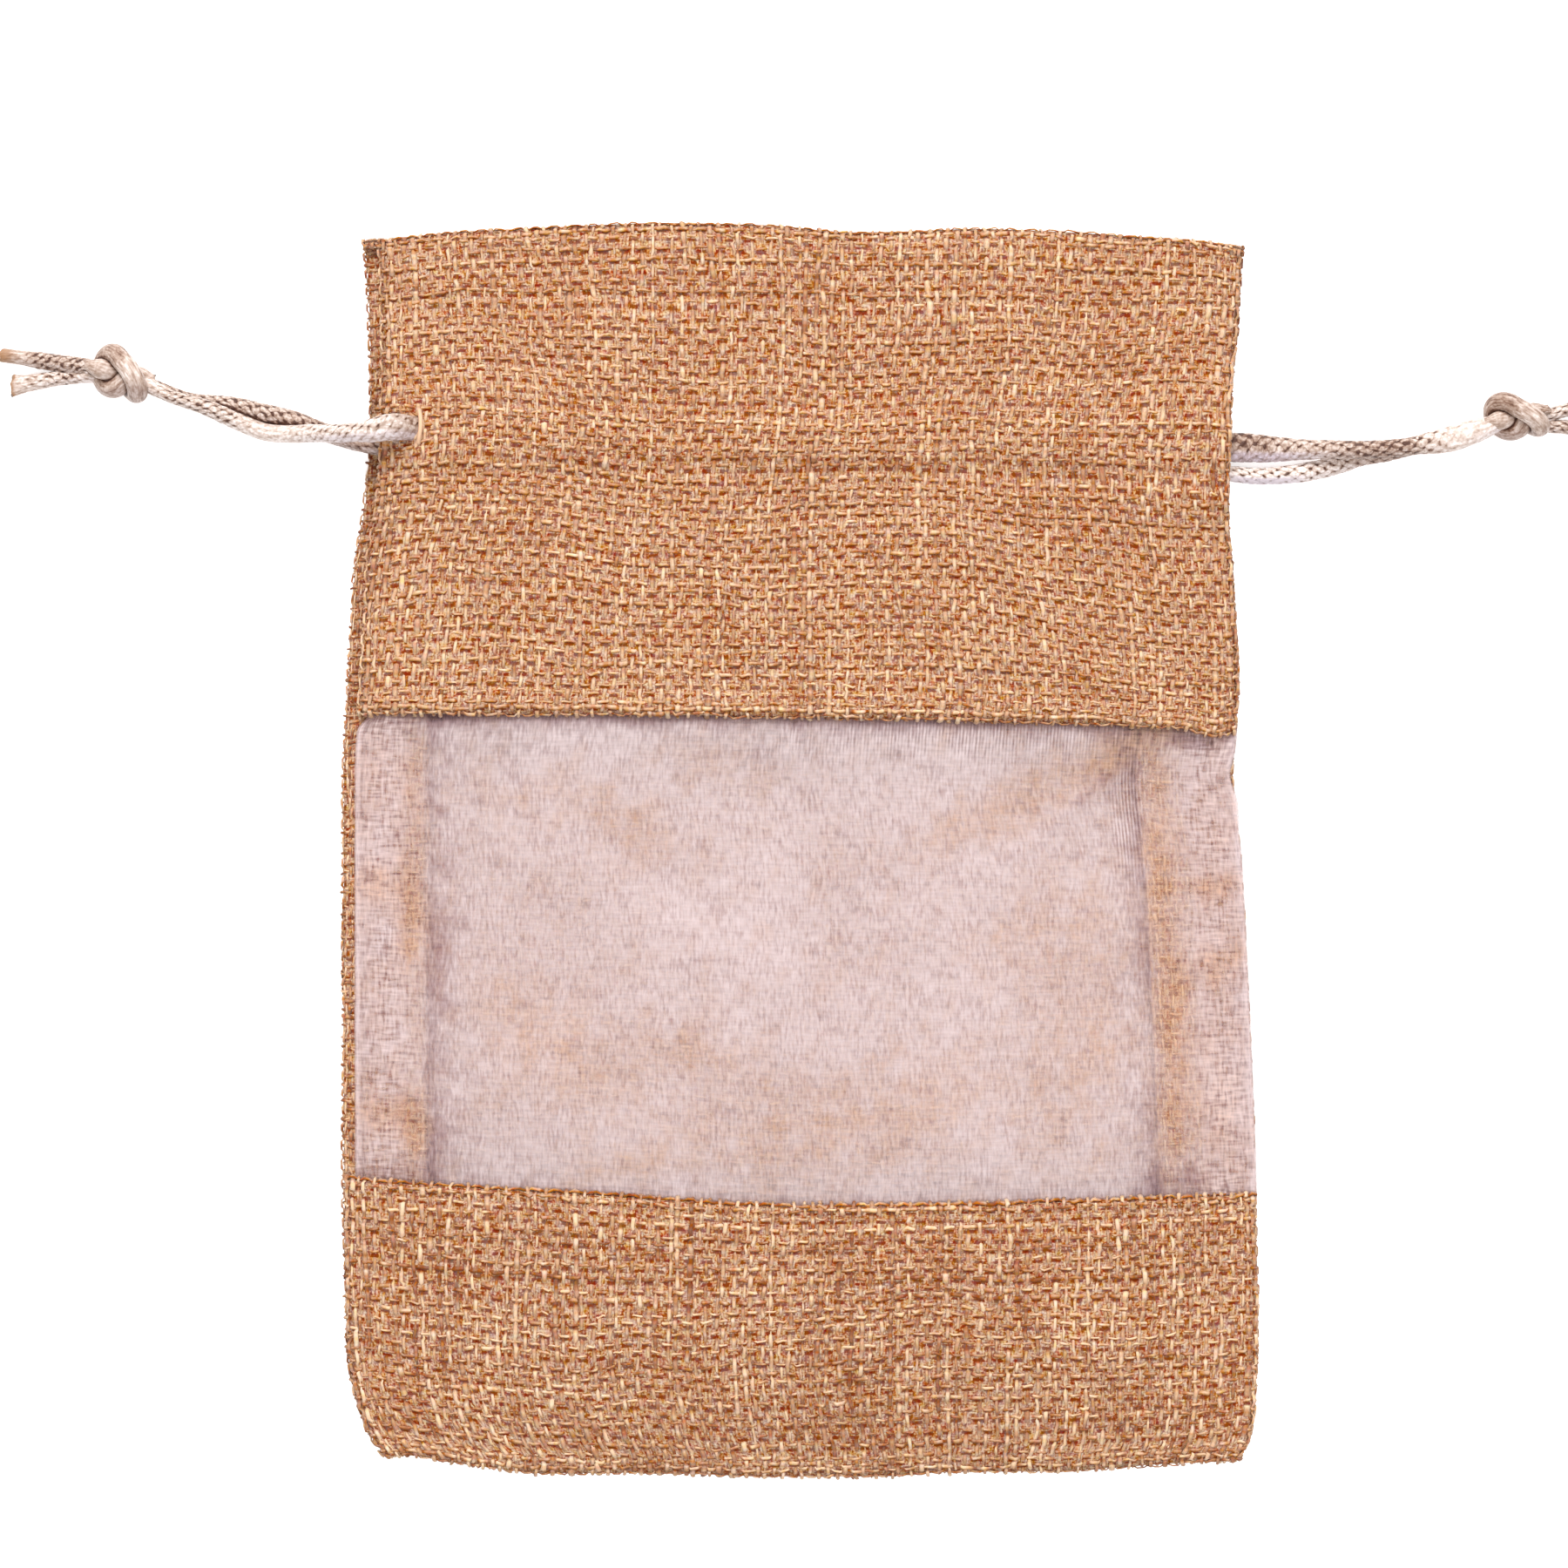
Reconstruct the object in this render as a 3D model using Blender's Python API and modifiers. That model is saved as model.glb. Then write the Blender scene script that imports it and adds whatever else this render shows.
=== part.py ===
"""An empty drawstring pouch of coarse linen with a sheer organza window, lying flat on its back.

X runs across the pouch, Y from its bottom seam to its mouth, and Z up from the face it rests on, whose
middle is the origin. Sizes and shapes are worked out in millimetres, and MM turns them into metres.
"""

import math
from collections import namedtuple

import bmesh
import bpy
import numpy as np

MM = 0.001

# The cloth and how it is stacked.
BACK_THICKNESS = 1.0
LINEN_THICKNESS = 1.2
ORGANZA_THICKNESS = 1.0
CLEARANCE = 0.3
SEAM_ALLOWANCE = 9.5
ALLOWANCE_THICKNESS = 1.0
ALLOWANCE_LOWEST = -60.0
ALLOWANCE_HIGHEST = 34.0

# The outline, seen from above.
Side = namedtuple("Side", "y left right")
SIDES = (
    Side(-68.4, -46.8, 49.7),
    Side(-66.3, -48.5, 50.8),
    Side(-61.5, -50.3, 51.4),
    Side(-55.0, -51.2, 51.6),
    Side(-42.0, -51.5, 51.4),
    Side(-20.0, -51.6, 50.6),
    Side(-1.0, -51.6, 49.6),
    Side(8.0, -51.6, 48.7),
    Side(18.0, -51.1, 49.4),
    Side(32.0, -50.3, 48.7),
    Side(40.0, -49.1, 48.2),
    Side(51.0, -48.5, 48.6),
    Side(61.0, -48.7, 49.5),
    Side(68.4, -49.1, 49.9),
)
End = namedtuple("End", "x y")
MOUTH_EDGE = (
    End(-49.1, 68.2),
    End(-39.0, 69.6),
    End(-16.0, 70.6),
    End(6.0, 69.8),
    End(20.0, 70.1),
    End(37.0, 69.3),
    End(49.9, 68.1),
)
BOTTOM_EDGE = (
    End(-46.8, -68.0),
    End(-31.0, -69.9),
    End(-4.0, -70.6),
    End(27.0, -69.8),
    End(49.7, -68.2),
)
WINDOW_TOP = (End(-51.0, 15.4), End(-15.0, 15.2), End(27.0, 14.4), End(49.0, 13.6))
WINDOW_BOTTOM = (End(-51.0, -36.9), End(-22.0, -38.3), End(0.0, -39.5), End(51.0, -38.7))

# How far each front panel stops short of the back panel's sides.
Inset = namedtuple("Inset", "left right")
INSETS = {
    "front_top_panel": Inset(1.0, 0.2),
    "window_panel": Inset(1.1, 0.3),
    "front_bottom_panel": Inset(0.3, 0.2),
}

# The room between back and front: a crown that falls to the seams, and stays open at the mouth.
CROWN = 5.4
CROWN_POWER = 3.0
BOTTOM_RISE = 45.0
MOUTH_DROP = 0.1
Lift = namedtuple("Lift", "y height")
SIDE_LIFTS = (
    Lift(-71.0, 1.0),
    Lift(-64.0, 1.0),
    Lift(35.0, 1.0),
    Lift(40.5, 2.5),
    Lift(49.5, 2.5),
    Lift(57.0, 0.5),
    Lift(71.0, 0.3),
)
SIDE_LIFT_POWER = 6.0
CHANNEL_Y = 46.0
CHANNEL_RIDGE = 0.5
CHANNEL_SPREAD = 3.6

# Soft ridges and troughs of the front: the middle, heading and half length and width of each.
Fold = namedtuple("Fold", "x y heading reach spread rise")
FOLDS = (
    Fold(-18.0, 58.0, 12.0, 17.0, 5.0, 0.35),
    Fold(24.0, 60.0, -8.0, 14.0, 6.0, -0.2),
    Fold(14.0, 32.0, 6.0, 22.0, 5.0, 0.3),
    Fold(-24.0, 29.0, -10.0, 14.0, 6.0, 0.25),
    Fold(33.0, 6.5, 40.0, 11.0, 2.6, 0.55),
    Fold(-20.0, 0.0, -38.0, 15.0, 3.4, -0.35),
    Fold(8.0, -16.0, 52.0, 15.0, 4.0, 0.35),
    Fold(-30.0, -24.0, 24.0, 11.0, 3.4, 0.3),
    Fold(26.0, -27.0, -30.0, 12.0, 4.0, -0.3),
    Fold(-14.0, -54.0, 4.0, 20.0, 5.0, 0.3),
    Fold(26.0, -56.0, -6.0, 15.0, 5.0, 0.25),
)

# The hole in the front panel that one left strand comes out of.
Hole = namedtuple("Hole", "x y length width")
CORD_HOLE = Hole(-43.6, 47.1, 5.0, 3.0)
HOLE_CUTTER_HEIGHT = 4.0
HOLE_CUTTER_Z = 5.0

# The cords. Each route starts inside the channel, and lies on the surface between panel and knot.
CORD_DIAMETER = 2.2
TAIL_DIAMETER = 2.0
POINT_SPACING = 2.4
FLARE = 1.2
CORDS = {
    "left_cord_front": (
        (-39.0, 46.9, 2.6), (-41.6, 47.1, 3.0), (-43.6, 47.15, 5.2), (-45.8, 47.0, 7.2),
        (-48.4, 46.7, 7.4), (-50.7, 46.7, 6.4), (-52.7, 46.7, 5.1), (-55.2, 46.8, 3.5),
        (-57.8, 46.9, 2.1), (-60.8, 47.4, 1.3), (-64.1, 48.4, 1.9), (-67.3, 49.7, 3.2),
        (-70.6, 51.0, 3.7), (-72.6, 51.9, 3.75), (-73.95, 52.5, 3.7),
    ),
    "left_cord_back": (
        (-42.5, 44.9, 2.4), (-46.0, 45.0, 2.4), (-49.4, 45.3, 2.3), (-51.2, 45.9, 1.9),
        (-52.8, 46.9, 1.45), (-54.6, 48.1, 1.15), (-57.6, 49.3, 1.12), (-60.8, 50.1, 1.12),
        (-64.1, 50.9, 1.12), (-66.8, 51.2, 1.12), (-69.4, 51.5, 1.12), (-71.4, 52.0, 1.12),
        (-74.2, 53.0, 1.2),
    ),
    "right_cord_upper": (
        (41.5, 46.1, 2.4), (45.0, 46.0, 2.4), (48.3, 45.9, 2.42), (50.8, 45.75, 1.95),
        (53.1, 45.6, 1.55), (55.7, 45.5, 1.6), (58.3, 45.3, 2.5), (60.9, 45.3, 3.2),
        (63.5, 45.3, 3.6), (67.5, 45.4, 3.7), (70.1, 45.7, 3.7), (72.7, 46.3, 3.75),
        (75.2, 47.0, 3.8), (78.0, 48.0, 3.7),
    ),
    "right_cord_lower": (
        (41.5, 42.9, 2.4), (45.0, 42.85, 2.4), (48.1, 42.8, 2.3), (51.7, 42.7, 1.5),
        (55.7, 42.85, 1.12), (58.3, 43.1, 1.12), (60.9, 43.6, 1.12), (63.5, 44.1, 1.12),
        (66.2, 44.8, 1.12), (68.8, 45.7, 1.12), (71.4, 46.6, 1.12), (74.1, 47.4, 1.12),
        (77.6, 48.5, 1.2),
    ),
}
TAILS = {
    "left_tail_upper": ((-80.4, 55.3, 2.1), (-83.5, 55.4, 1.5), (-87.3, 55.8, 1.15), (-90.6, 56.0, 1.25)),
    "left_tail_lower": ((-80.2, 52.9, 1.5), (-83.5, 52.8, 1.15), (-86.0, 52.4, 1.15), (-88.4, 52.1, 1.25)),
    "right_tail_upper": ((84.0, 50.1, 2.0), (87.0, 50.3, 1.4), (90.2, 50.7, 1.15), (93.6, 51.2, 1.25)),
    "right_tail_lower": ((84.0, 47.8, 1.5), (87.0, 47.7, 1.15), (89.4, 47.3, 1.15), (92.0, 46.7, 1.25)),
}

# The overhand knots: a closed three-lobed path of both strands, fused and rounded.
Knot = namedtuple("Knot", "x y z length width height turn strand")
KNOTS = {
    "left_knot": Knot(-76.7, 53.9, 2.5, 6.6, 5.9, 5.0, 25.0, 2.9),
    "right_knot": Knot(80.4, 48.9, 2.5, 6.6, 5.4, 5.0, -35.0, 2.9),
}
KNOT_STEPS = 40
KNOT_VOXEL = 0.28
KNOT_KEPT_FACES = 0.16

Paint = namedtuple("Paint", "colour roughness")
LINEN = Paint((0.60, 0.32, 0.18), 0.92)
ORGANZA = Paint((0.74, 0.56, 0.53), 0.55)
CORD = Paint((0.60, 0.50, 0.44), 0.42)


def clear_scene():
    for old in list(bpy.data.objects):
        bpy.data.objects.remove(old, do_unlink=True)


def collection(name):
    made = bpy.data.collections.new(name)
    bpy.context.scene.collection.children.link(made)
    return made


def material(name, paint):
    made = bpy.data.materials.new(name)
    made.use_nodes = True
    shader = made.node_tree.nodes["Principled BSDF"]
    shader.inputs["Base Color"].default_value = (*paint.colour, 1.0)
    shader.inputs["Roughness"].default_value = paint.roughness
    shader.inputs["Metallic"].default_value = 0.0
    return made


def read_table(rows, at, key, value):
    """A smooth curve through the rows of a short table, with no overshoot, where column key is at."""
    known = np.array([getattr(row, key) for row in rows])
    values = np.array([getattr(row, value) for row in rows])
    secants = np.diff(values) / np.diff(known)
    before, after = secants[:-1], secants[1:]
    turns = before * after <= 0
    inner = np.where(turns, 0.0, 2 * before * after / np.where(turns, 1.0, before + after))
    slopes = np.concatenate([secants[:1], inner, secants[-1:]])
    at = min(max(at, known[0]), known[-1])
    i = min(int(np.searchsorted(known, at, side="right")) - 1, len(known) - 2)
    i = max(i, 0)
    step = known[i + 1] - known[i]
    t = (at - known[i]) / step
    return (
        (1 + 2 * t) * (1 - t) ** 2 * values[i]
        + t * (1 - t) ** 2 * step * slopes[i]
        + t * t * (3 - 2 * t) * values[i + 1]
        + t * t * (t - 1) * step * slopes[i + 1]
    )


def side_left(y):
    return read_table(SIDES, y, "y", "left")


def side_right(y):
    return read_table(SIDES, y, "y", "right")


def across(x, y):
    """From -1 at the pouch's left side to 1 at its right side."""
    left, right = side_left(y), side_right(y)
    return min(max(2 * (x - left) / (right - left) - 1, -1.0), 1.0)


def fold_height(x, y):
    """The height that the soft folds add at a point."""
    total = 0.0
    for fold in FOLDS:
        turn = math.radians(fold.heading)
        along = (x - fold.x) * math.cos(turn) + (y - fold.y) * math.sin(turn)
        aside = (y - fold.y) * math.cos(turn) - (x - fold.x) * math.sin(turn)
        total += fold.rise * math.exp(-((along / fold.reach) ** 2) - (aside / fold.spread) ** 2)
    return total


def front_underside(x, y):
    """The height of the front panels' inner face."""
    u = abs(across(x, y))
    from_bottom = y - read_table(BOTTOM_EDGE, x, "x", "y")
    rise = 1 - max(1 - from_bottom / BOTTOM_RISE, 0.0) ** CROWN_POWER
    to_mouth = min(max((y - CHANNEL_Y) / (MOUTH_EDGE[2].y - CHANNEL_Y), 0.0), 1.0)
    crown = CROWN * (1 - u**CROWN_POWER) * rise * (1 - MOUTH_DROP * to_mouth)
    lift = read_table(SIDE_LIFTS, y, "y", "height") * u**SIDE_LIFT_POWER
    ridge = CHANNEL_RIDGE * math.exp(-(((y - CHANNEL_Y) / CHANNEL_SPREAD) ** 2))
    flat_rim = 1 - u**CROWN_POWER
    return BACK_THICKNESS + CLEARANCE + crown + lift + ridge + fold_height(x, y) * flat_rim * rise


def back_top(x, y):
    """The height of the back panel's upper face, with the seam allowances turned in over it."""
    in_from_side = min(x - side_left(y), side_right(y) - x)
    turned_in = in_from_side <= SEAM_ALLOWANCE and ALLOWANCE_LOWEST <= y <= ALLOWANCE_HIGHEST
    return BACK_THICKNESS + (ALLOWANCE_THICKNESS if turned_in else 0.0)


def back_place(u, v):
    """A point of the back panel, u and v running from 0 to 1 across and up it."""
    nominal = SIDES[-1].left + u * (SIDES[-1].right - SIDES[-1].left)
    low, high = read_table(BOTTOM_EDGE, nominal, "x", "y"), read_table(MOUTH_EDGE, nominal, "x", "y")
    y = low + v * (high - low)
    return side_left(y) + u * (side_right(y) - side_left(y)), y


def front_place(name, low_edge, high_edge, low_gap, high_gap):
    """A function that gives a front panel's points between its two edges."""

    def place(u, v):
        nominal = SIDES[-1].left + u * (SIDES[-1].right - SIDES[-1].left)
        low = read_table(low_edge, nominal, "x", "y") + low_gap
        high = read_table(high_edge, nominal, "x", "y") - high_gap
        y = low + v * (high - low)
        left = side_left(y) + INSETS[name].left
        right = side_right(y) - INSETS[name].right
        return left + u * (right - left), y

    return place


def even(count):
    return [i / count for i in range(count + 1)]


def back_columns():
    """Columns with a close pair at each allowance's inner edge, which makes a steep step."""
    width = SIDES[5].right - SIDES[5].left
    edge, step = SEAM_ALLOWANCE / width, CLEARANCE / width
    inner = [edge + step + (1 - 2 * edge - 2 * step) * t for t in even(8)]
    return [0.0, edge / 2, edge - step, *inner, 1 - edge + step, 1 - edge / 2, 1.0]


def slab(name, columns, rows, place, low, high, home, paint):
    """A sheet between two height functions, over the points that place gives."""
    mesh = bpy.data.meshes.new(name)
    shape = bmesh.new()
    bmesh.ops.create_grid(shape, x_segments=len(columns) - 1, y_segments=len(rows) - 1, size=0.5)
    under = {}
    for vert in shape.verts:
        u = columns[round((vert.co.x + 0.5) * (len(columns) - 1))]
        v = rows[round((vert.co.y + 0.5) * (len(rows) - 1))]
        under[vert] = place(u, v)
    made = bmesh.ops.extrude_face_region(shape, geom=shape.faces[:])
    over = [item for item in made["geom"] if isinstance(item, bmesh.types.BMVert)]
    places = {(round(vert.co.x, 5), round(vert.co.y, 5)): xy for vert, xy in under.items()}
    for vert in over:
        x, y = places[(round(vert.co.x, 5), round(vert.co.y, 5))]
        vert.co = (MM * x, MM * y, MM * high(x, y))
    for vert, (x, y) in under.items():
        vert.co = (MM * x, MM * y, MM * low(x, y))
    bmesh.ops.recalc_face_normals(shape, faces=shape.faces[:])
    shape.to_mesh(mesh)
    shape.free()
    mesh.materials.append(paint)
    made = bpy.data.objects.new(name, mesh)
    home.objects.link(made)
    return made


def make_back_panel(home, paint):
    return slab(
        "back_panel", back_columns(), even(26), back_place, lambda x, y: 0.0, back_top, home, paint
    )


def make_front_panel(name, edges, gaps, counts, thickness, home, paint):
    return slab(
        name,
        even(counts[0]),
        even(counts[1]),
        front_place(name, *edges, *gaps),
        front_underside,
        lambda x, y: front_underside(x, y) + thickness,
        home,
        paint,
    )


def cut_cord_hole(panel, cutters):
    """An oval hole through the panel for the cord."""
    bpy.ops.mesh.primitive_cylinder_add(
        vertices=16,
        radius=0.5,
        depth=1.0,
        location=(CORD_HOLE.x * MM, CORD_HOLE.y * MM, HOLE_CUTTER_Z * MM),
        scale=(CORD_HOLE.length * MM, CORD_HOLE.width * MM, HOLE_CUTTER_HEIGHT * MM),
    )
    cutter = bpy.context.object
    cutter.name = "cord_hole_cutter"
    for owner in list(cutter.users_collection):
        owner.objects.unlink(cutter)
    cutters.objects.link(cutter)
    cutter.hide_render = True
    cutter.display_type = "WIRE"
    cut = panel.modifiers.new("cord_hole", "BOOLEAN")
    cut.operation = "DIFFERENCE"
    cut.solver = "EXACT"
    cut.object = cutter


def spaced(route, spacing):
    """Points at even steps along a smooth curve through the route."""
    points = np.array(route)
    ends = np.vstack([2 * points[0] - points[1], points, 2 * points[-1] - points[-2]])
    fine = []
    for i in range(len(points) - 1):
        a, b, c, d = ends[i : i + 4]
        for t in np.linspace(0.0, 1.0, 12, endpoint=False):
            fine.append(
                0.5 * (2 * b + (c - a) * t + (2 * a - 5 * b + 4 * c - d) * t**2
                       + (3 * b - a - 3 * c + d) * t**3)
            )
    fine = np.array([*fine, points[-1]])
    along = np.concatenate([[0.0], np.cumsum(np.linalg.norm(np.diff(fine, axis=0), axis=1))])
    count = max(round(along[-1] / spacing), 3) + 1
    stops = np.linspace(0.0, along[-1], count)
    return np.stack([np.interp(stops, along, fine[:, k]) for k in range(3)], axis=1)


def cord(name, route, diameter, home, paint, end_flare=1.0):
    """A round cord along a route, its last point widened by end_flare."""
    points = spaced(route, POINT_SPACING)
    data = bpy.data.curves.new(name, "CURVE")
    data.dimensions = "3D"
    data.bevel_depth = diameter / 2 * MM
    data.bevel_resolution = 2
    data.use_fill_caps = True
    line = data.splines.new("POLY")
    line.points.add(len(points) - 1)
    for at, point in zip(line.points, points):
        at.co = (*(point * MM), 1.0)
    line.points[-1].radius = end_flare
    line.use_smooth = True
    data.materials.append(paint)
    home.objects.link(bpy.data.objects.new(name, data))


def knot(name, size, home, paint):
    """A three-lobed overhand knot, its turns fused into one rounded solid."""
    data = bpy.data.curves.new(name, "CURVE")
    data.dimensions = "3D"
    data.bevel_depth = size.strand / 2 * MM
    data.bevel_resolution = 3
    line = data.splines.new("POLY")
    line.points.add(KNOT_STEPS - 1)
    line.use_cyclic_u = True
    turns = np.linspace(0.0, 2 * math.pi, KNOT_STEPS, endpoint=False)
    lobes = np.stack([
        np.sin(turns) + 2 * np.sin(2 * turns), np.cos(turns) - 2 * np.cos(2 * turns), -np.sin(3 * turns)
    ], axis=1)
    lobes = (lobes - lobes.min(axis=0)) / np.ptp(lobes, axis=0) - 0.5
    room = np.array([size.length, size.width, size.height]) - size.strand
    for at, lobe in zip(line.points, lobes):
        at.co = (*(MM * room * lobe), 1.0)
    guide = bpy.data.objects.new(name + "_path", data)
    home.objects.link(guide)
    graph = bpy.context.evaluated_depsgraph_get()
    mesh = bpy.data.meshes.new_from_object(guide.evaluated_get(graph))
    bpy.data.objects.remove(guide)
    mesh.name = name
    mesh.materials.clear()
    mesh.materials.append(paint)
    made = bpy.data.objects.new(name, mesh)
    made.location = (size.x * MM, size.y * MM, size.z * MM)
    made.rotation_euler = (0.0, 0.0, math.radians(size.turn))
    home.objects.link(made)
    fuse = made.modifiers.new("fuse", "REMESH")
    fuse.mode = "VOXEL"
    fuse.voxel_size = KNOT_VOXEL * MM
    thin_out = made.modifiers.new("thin_out", "DECIMATE")
    thin_out.ratio = KNOT_KEPT_FACES
    return made


def main():
    clear_scene()
    pouch = collection("drawstring_pouch")
    cutters = collection("cutters")
    linen = material("linen", LINEN)
    organza = material("organza", ORGANZA)
    satin = material("satin_cord", CORD)

    make_back_panel(pouch, linen)
    top = make_front_panel(
        "front_top_panel", (WINDOW_TOP, MOUTH_EDGE), (0.0, 0.0), (28, 15), LINEN_THICKNESS, pouch, linen
    )
    cut_cord_hole(top, cutters)
    make_front_panel(
        "window_panel",
        (WINDOW_BOTTOM, WINDOW_TOP),
        (CLEARANCE, CLEARANCE),
        (28, 14),
        ORGANZA_THICKNESS,
        pouch,
        organza,
    )
    make_front_panel(
        "front_bottom_panel",
        (BOTTOM_EDGE, WINDOW_BOTTOM),
        (0.0, 0.0),
        (28, 9),
        LINEN_THICKNESS,
        pouch,
        linen,
    )
    for name, route in CORDS.items():
        cord(name, route, CORD_DIAMETER, pouch, satin)
    for name, route in TAILS.items():
        cord(name, route, TAIL_DIAMETER, pouch, satin, FLARE)
    for name, size in KNOTS.items():
        knot(name, size, pouch, satin)


main()
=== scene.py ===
"""The looks of the drawstring pouch: every panel is woven yarn by yarn over a thin cloth, the window is
sheer organza, and the cords are braided satin with an overhand knot at each side.

Sizes and places are worked out in millimetres in the frame of the CAD part, and MM turns them into metres.
"""

import math
from collections import namedtuple

import bpy
import numpy as np
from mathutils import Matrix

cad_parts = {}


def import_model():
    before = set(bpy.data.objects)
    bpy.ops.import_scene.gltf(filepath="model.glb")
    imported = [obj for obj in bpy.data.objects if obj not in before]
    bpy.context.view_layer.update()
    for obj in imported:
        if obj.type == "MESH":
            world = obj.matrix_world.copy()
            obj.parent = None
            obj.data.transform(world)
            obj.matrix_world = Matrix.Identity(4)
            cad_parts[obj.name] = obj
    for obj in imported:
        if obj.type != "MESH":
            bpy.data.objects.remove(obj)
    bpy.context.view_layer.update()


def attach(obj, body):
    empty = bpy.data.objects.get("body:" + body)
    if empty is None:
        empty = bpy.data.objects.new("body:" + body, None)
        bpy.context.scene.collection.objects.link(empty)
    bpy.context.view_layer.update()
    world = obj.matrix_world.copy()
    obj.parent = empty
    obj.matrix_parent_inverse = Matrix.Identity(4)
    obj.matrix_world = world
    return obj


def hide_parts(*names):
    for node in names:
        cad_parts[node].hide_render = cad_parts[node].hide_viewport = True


MM = 0.001

# The part's own outline, heights and folds, as its source has them.
BACK_THICKNESS = 1.0
LINEN_THICKNESS = 1.2
CLEARANCE = 0.3
SEAM_ALLOWANCE = 9.5
RIGHT_ALLOWANCE = 10.8  # it shows wider in the photo than it is in the part
ALLOWANCE_LOWEST = -60.0
ALLOWANCE_HIGHEST = 34.0

Side = namedtuple("Side", "y left right")
SIDES = (
    Side(-68.4, -46.8, 49.7),
    Side(-66.3, -48.5, 50.8),
    Side(-61.5, -50.3, 51.4),
    Side(-55.0, -51.2, 51.6),
    Side(-42.0, -51.5, 51.4),
    Side(-20.0, -51.6, 50.6),
    Side(-1.0, -51.6, 49.6),
    Side(8.0, -51.6, 48.7),
    Side(18.0, -51.1, 49.4),
    Side(32.0, -50.3, 48.7),
    Side(40.0, -49.1, 48.2),
    Side(51.0, -48.5, 48.6),
    Side(61.0, -48.7, 49.5),
    Side(68.4, -49.1, 49.9),
)
Point = namedtuple("Point", "x y")
BOTTOM_EDGE = (
    Point(-46.8, -68.0),
    Point(-31.0, -69.9),
    Point(-4.0, -70.6),
    Point(27.0, -69.8),
    Point(49.7, -68.2),
)
# The mouth's edge and the bottom edge as the photo shows them, and how far the folded cloth reaches past
# the outline.
MOUTH_SHOWS = (
    Point(-49.1, 68.8),
    Point(-45.3, 69.15),
    Point(-39.0, 69.5),
    Point(-30.0, 69.75),
    Point(-16.0, 70.15),
    Point(-4.0, 69.85),
    Point(6.0, 69.1),
    Point(20.0, 69.5),
    Point(37.0, 68.95),
    Point(46.0, 68.6),
    Point(49.9, 68.1),
)
BOTTOM_SHOWS = (
    Point(-46.8, -68.3),
    Point(-40.0, -69.4),
    Point(-31.0, -70.4),
    Point(-18.0, -70.4),
    Point(-4.0, -70.8),
    Point(6.0, -70.8),
    Point(17.0, -70.3),
    Point(30.0, -70.1),
    Point(41.0, -69.4),
    Point(49.7, -68.8),
)
PAST_OUTLINE = 0.1
WINDOW_TOP = (Point(-51.0, 15.4), Point(-15.0, 15.2), Point(27.0, 14.4), Point(49.0, 13.6))
WINDOW_BOTTOM = (Point(-51.0, -36.9), Point(-22.0, -38.3), Point(0.0, -39.5), Point(51.0, -38.7))
# How far each panel lies in from the part's sides.
Inset = namedtuple("Inset", "left right")
TOP_INSET = Inset(1.0, 0.2)
WINDOW_INSET = Inset(1.1, 0.1)
BOTTOM_INSET = Inset(0.3, 0.2)
BACK_INSET = Inset(-0.25, 0.0)  # the back shows a little past the part at the left

CROWN = 5.4
CROWN_POWER = 3.0
BOTTOM_RISE = 45.0
MOUTH_DROP = 0.1
Lift = namedtuple("Lift", "y height")
SIDE_LIFTS = (
    Lift(-71.0, 1.0),
    Lift(-64.0, 1.0),
    Lift(35.0, 1.0),
    Lift(40.5, 2.5),
    Lift(49.5, 2.5),
    Lift(57.0, 0.5),
    Lift(71.0, 0.3),
)
SIDE_LIFT_POWER = 6.0
CHANNEL_Y = 46.0
MOUTH_Y = 70.6
CHANNEL_RIDGE = 0.5
CHANNEL_SPREAD = 3.6
# A soft oval patch: its middle, its heading in degrees, its half length and width, and its weight.
Patch = namedtuple("Patch", "x y heading reach spread weight")
FOLDS = (
    Patch(-18.0, 58.0, 12.0, 17.0, 5.0, 0.35),
    Patch(24.0, 60.0, -8.0, 14.0, 6.0, -0.2),
    Patch(14.0, 32.0, 6.0, 22.0, 5.0, 0.3),
    Patch(-24.0, 29.0, -10.0, 14.0, 6.0, 0.25),
    Patch(33.0, 6.5, 40.0, 11.0, 2.6, 0.55),
    Patch(-20.0, 0.0, -38.0, 15.0, 3.4, -0.35),
    Patch(8.0, -16.0, 52.0, 15.0, 4.0, 0.35),
    Patch(-30.0, -24.0, 24.0, 11.0, 3.4, 0.3),
    Patch(26.0, -27.0, -30.0, 12.0, 4.0, -0.3),
    Patch(-14.0, -54.0, 4.0, 20.0, 5.0, 0.3),
    Patch(26.0, -56.0, -6.0, 15.0, 5.0, 0.25),
)
Hole = namedtuple("Hole", "x y length width")
CORD_HOLE = Hole(-45.5, 47.4, 4.8, 2.8)
HOLE_PUSH = 3.4  # how far from the hole the yarns are pushed aside
# Where the back panel's rolled sides lie flat under the cords, and over what length.
CORDS_LEAVE_Y = 45.6
CORDS_LEAVE_SPREAD = 5.0

# The weave. A yarn is width wide and height high. Its middle is at over where it crosses over, at under
# where it crosses under, and stays level for float crossings to each side.
Yarn = namedtuple("Yarn", "pitch width height over under float")
WARP = Yarn(1.06, 0.4, 0.26, 0.14, -0.1, 0.37)
WEFT = Yarn(1.12, 0.33, 0.18, 0.09, -0.11, 0.31)
PLACE_SPREAD = 0.11  # how unevenly the yarns lie beside one another
FIRST_YARN = 0.2  # how far the first yarn lies in from the cloth's end
EDGE_CROWDING = 0.38  # how much closer yarns lie at a folded edge
EDGE_REACH = 1.7
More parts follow.
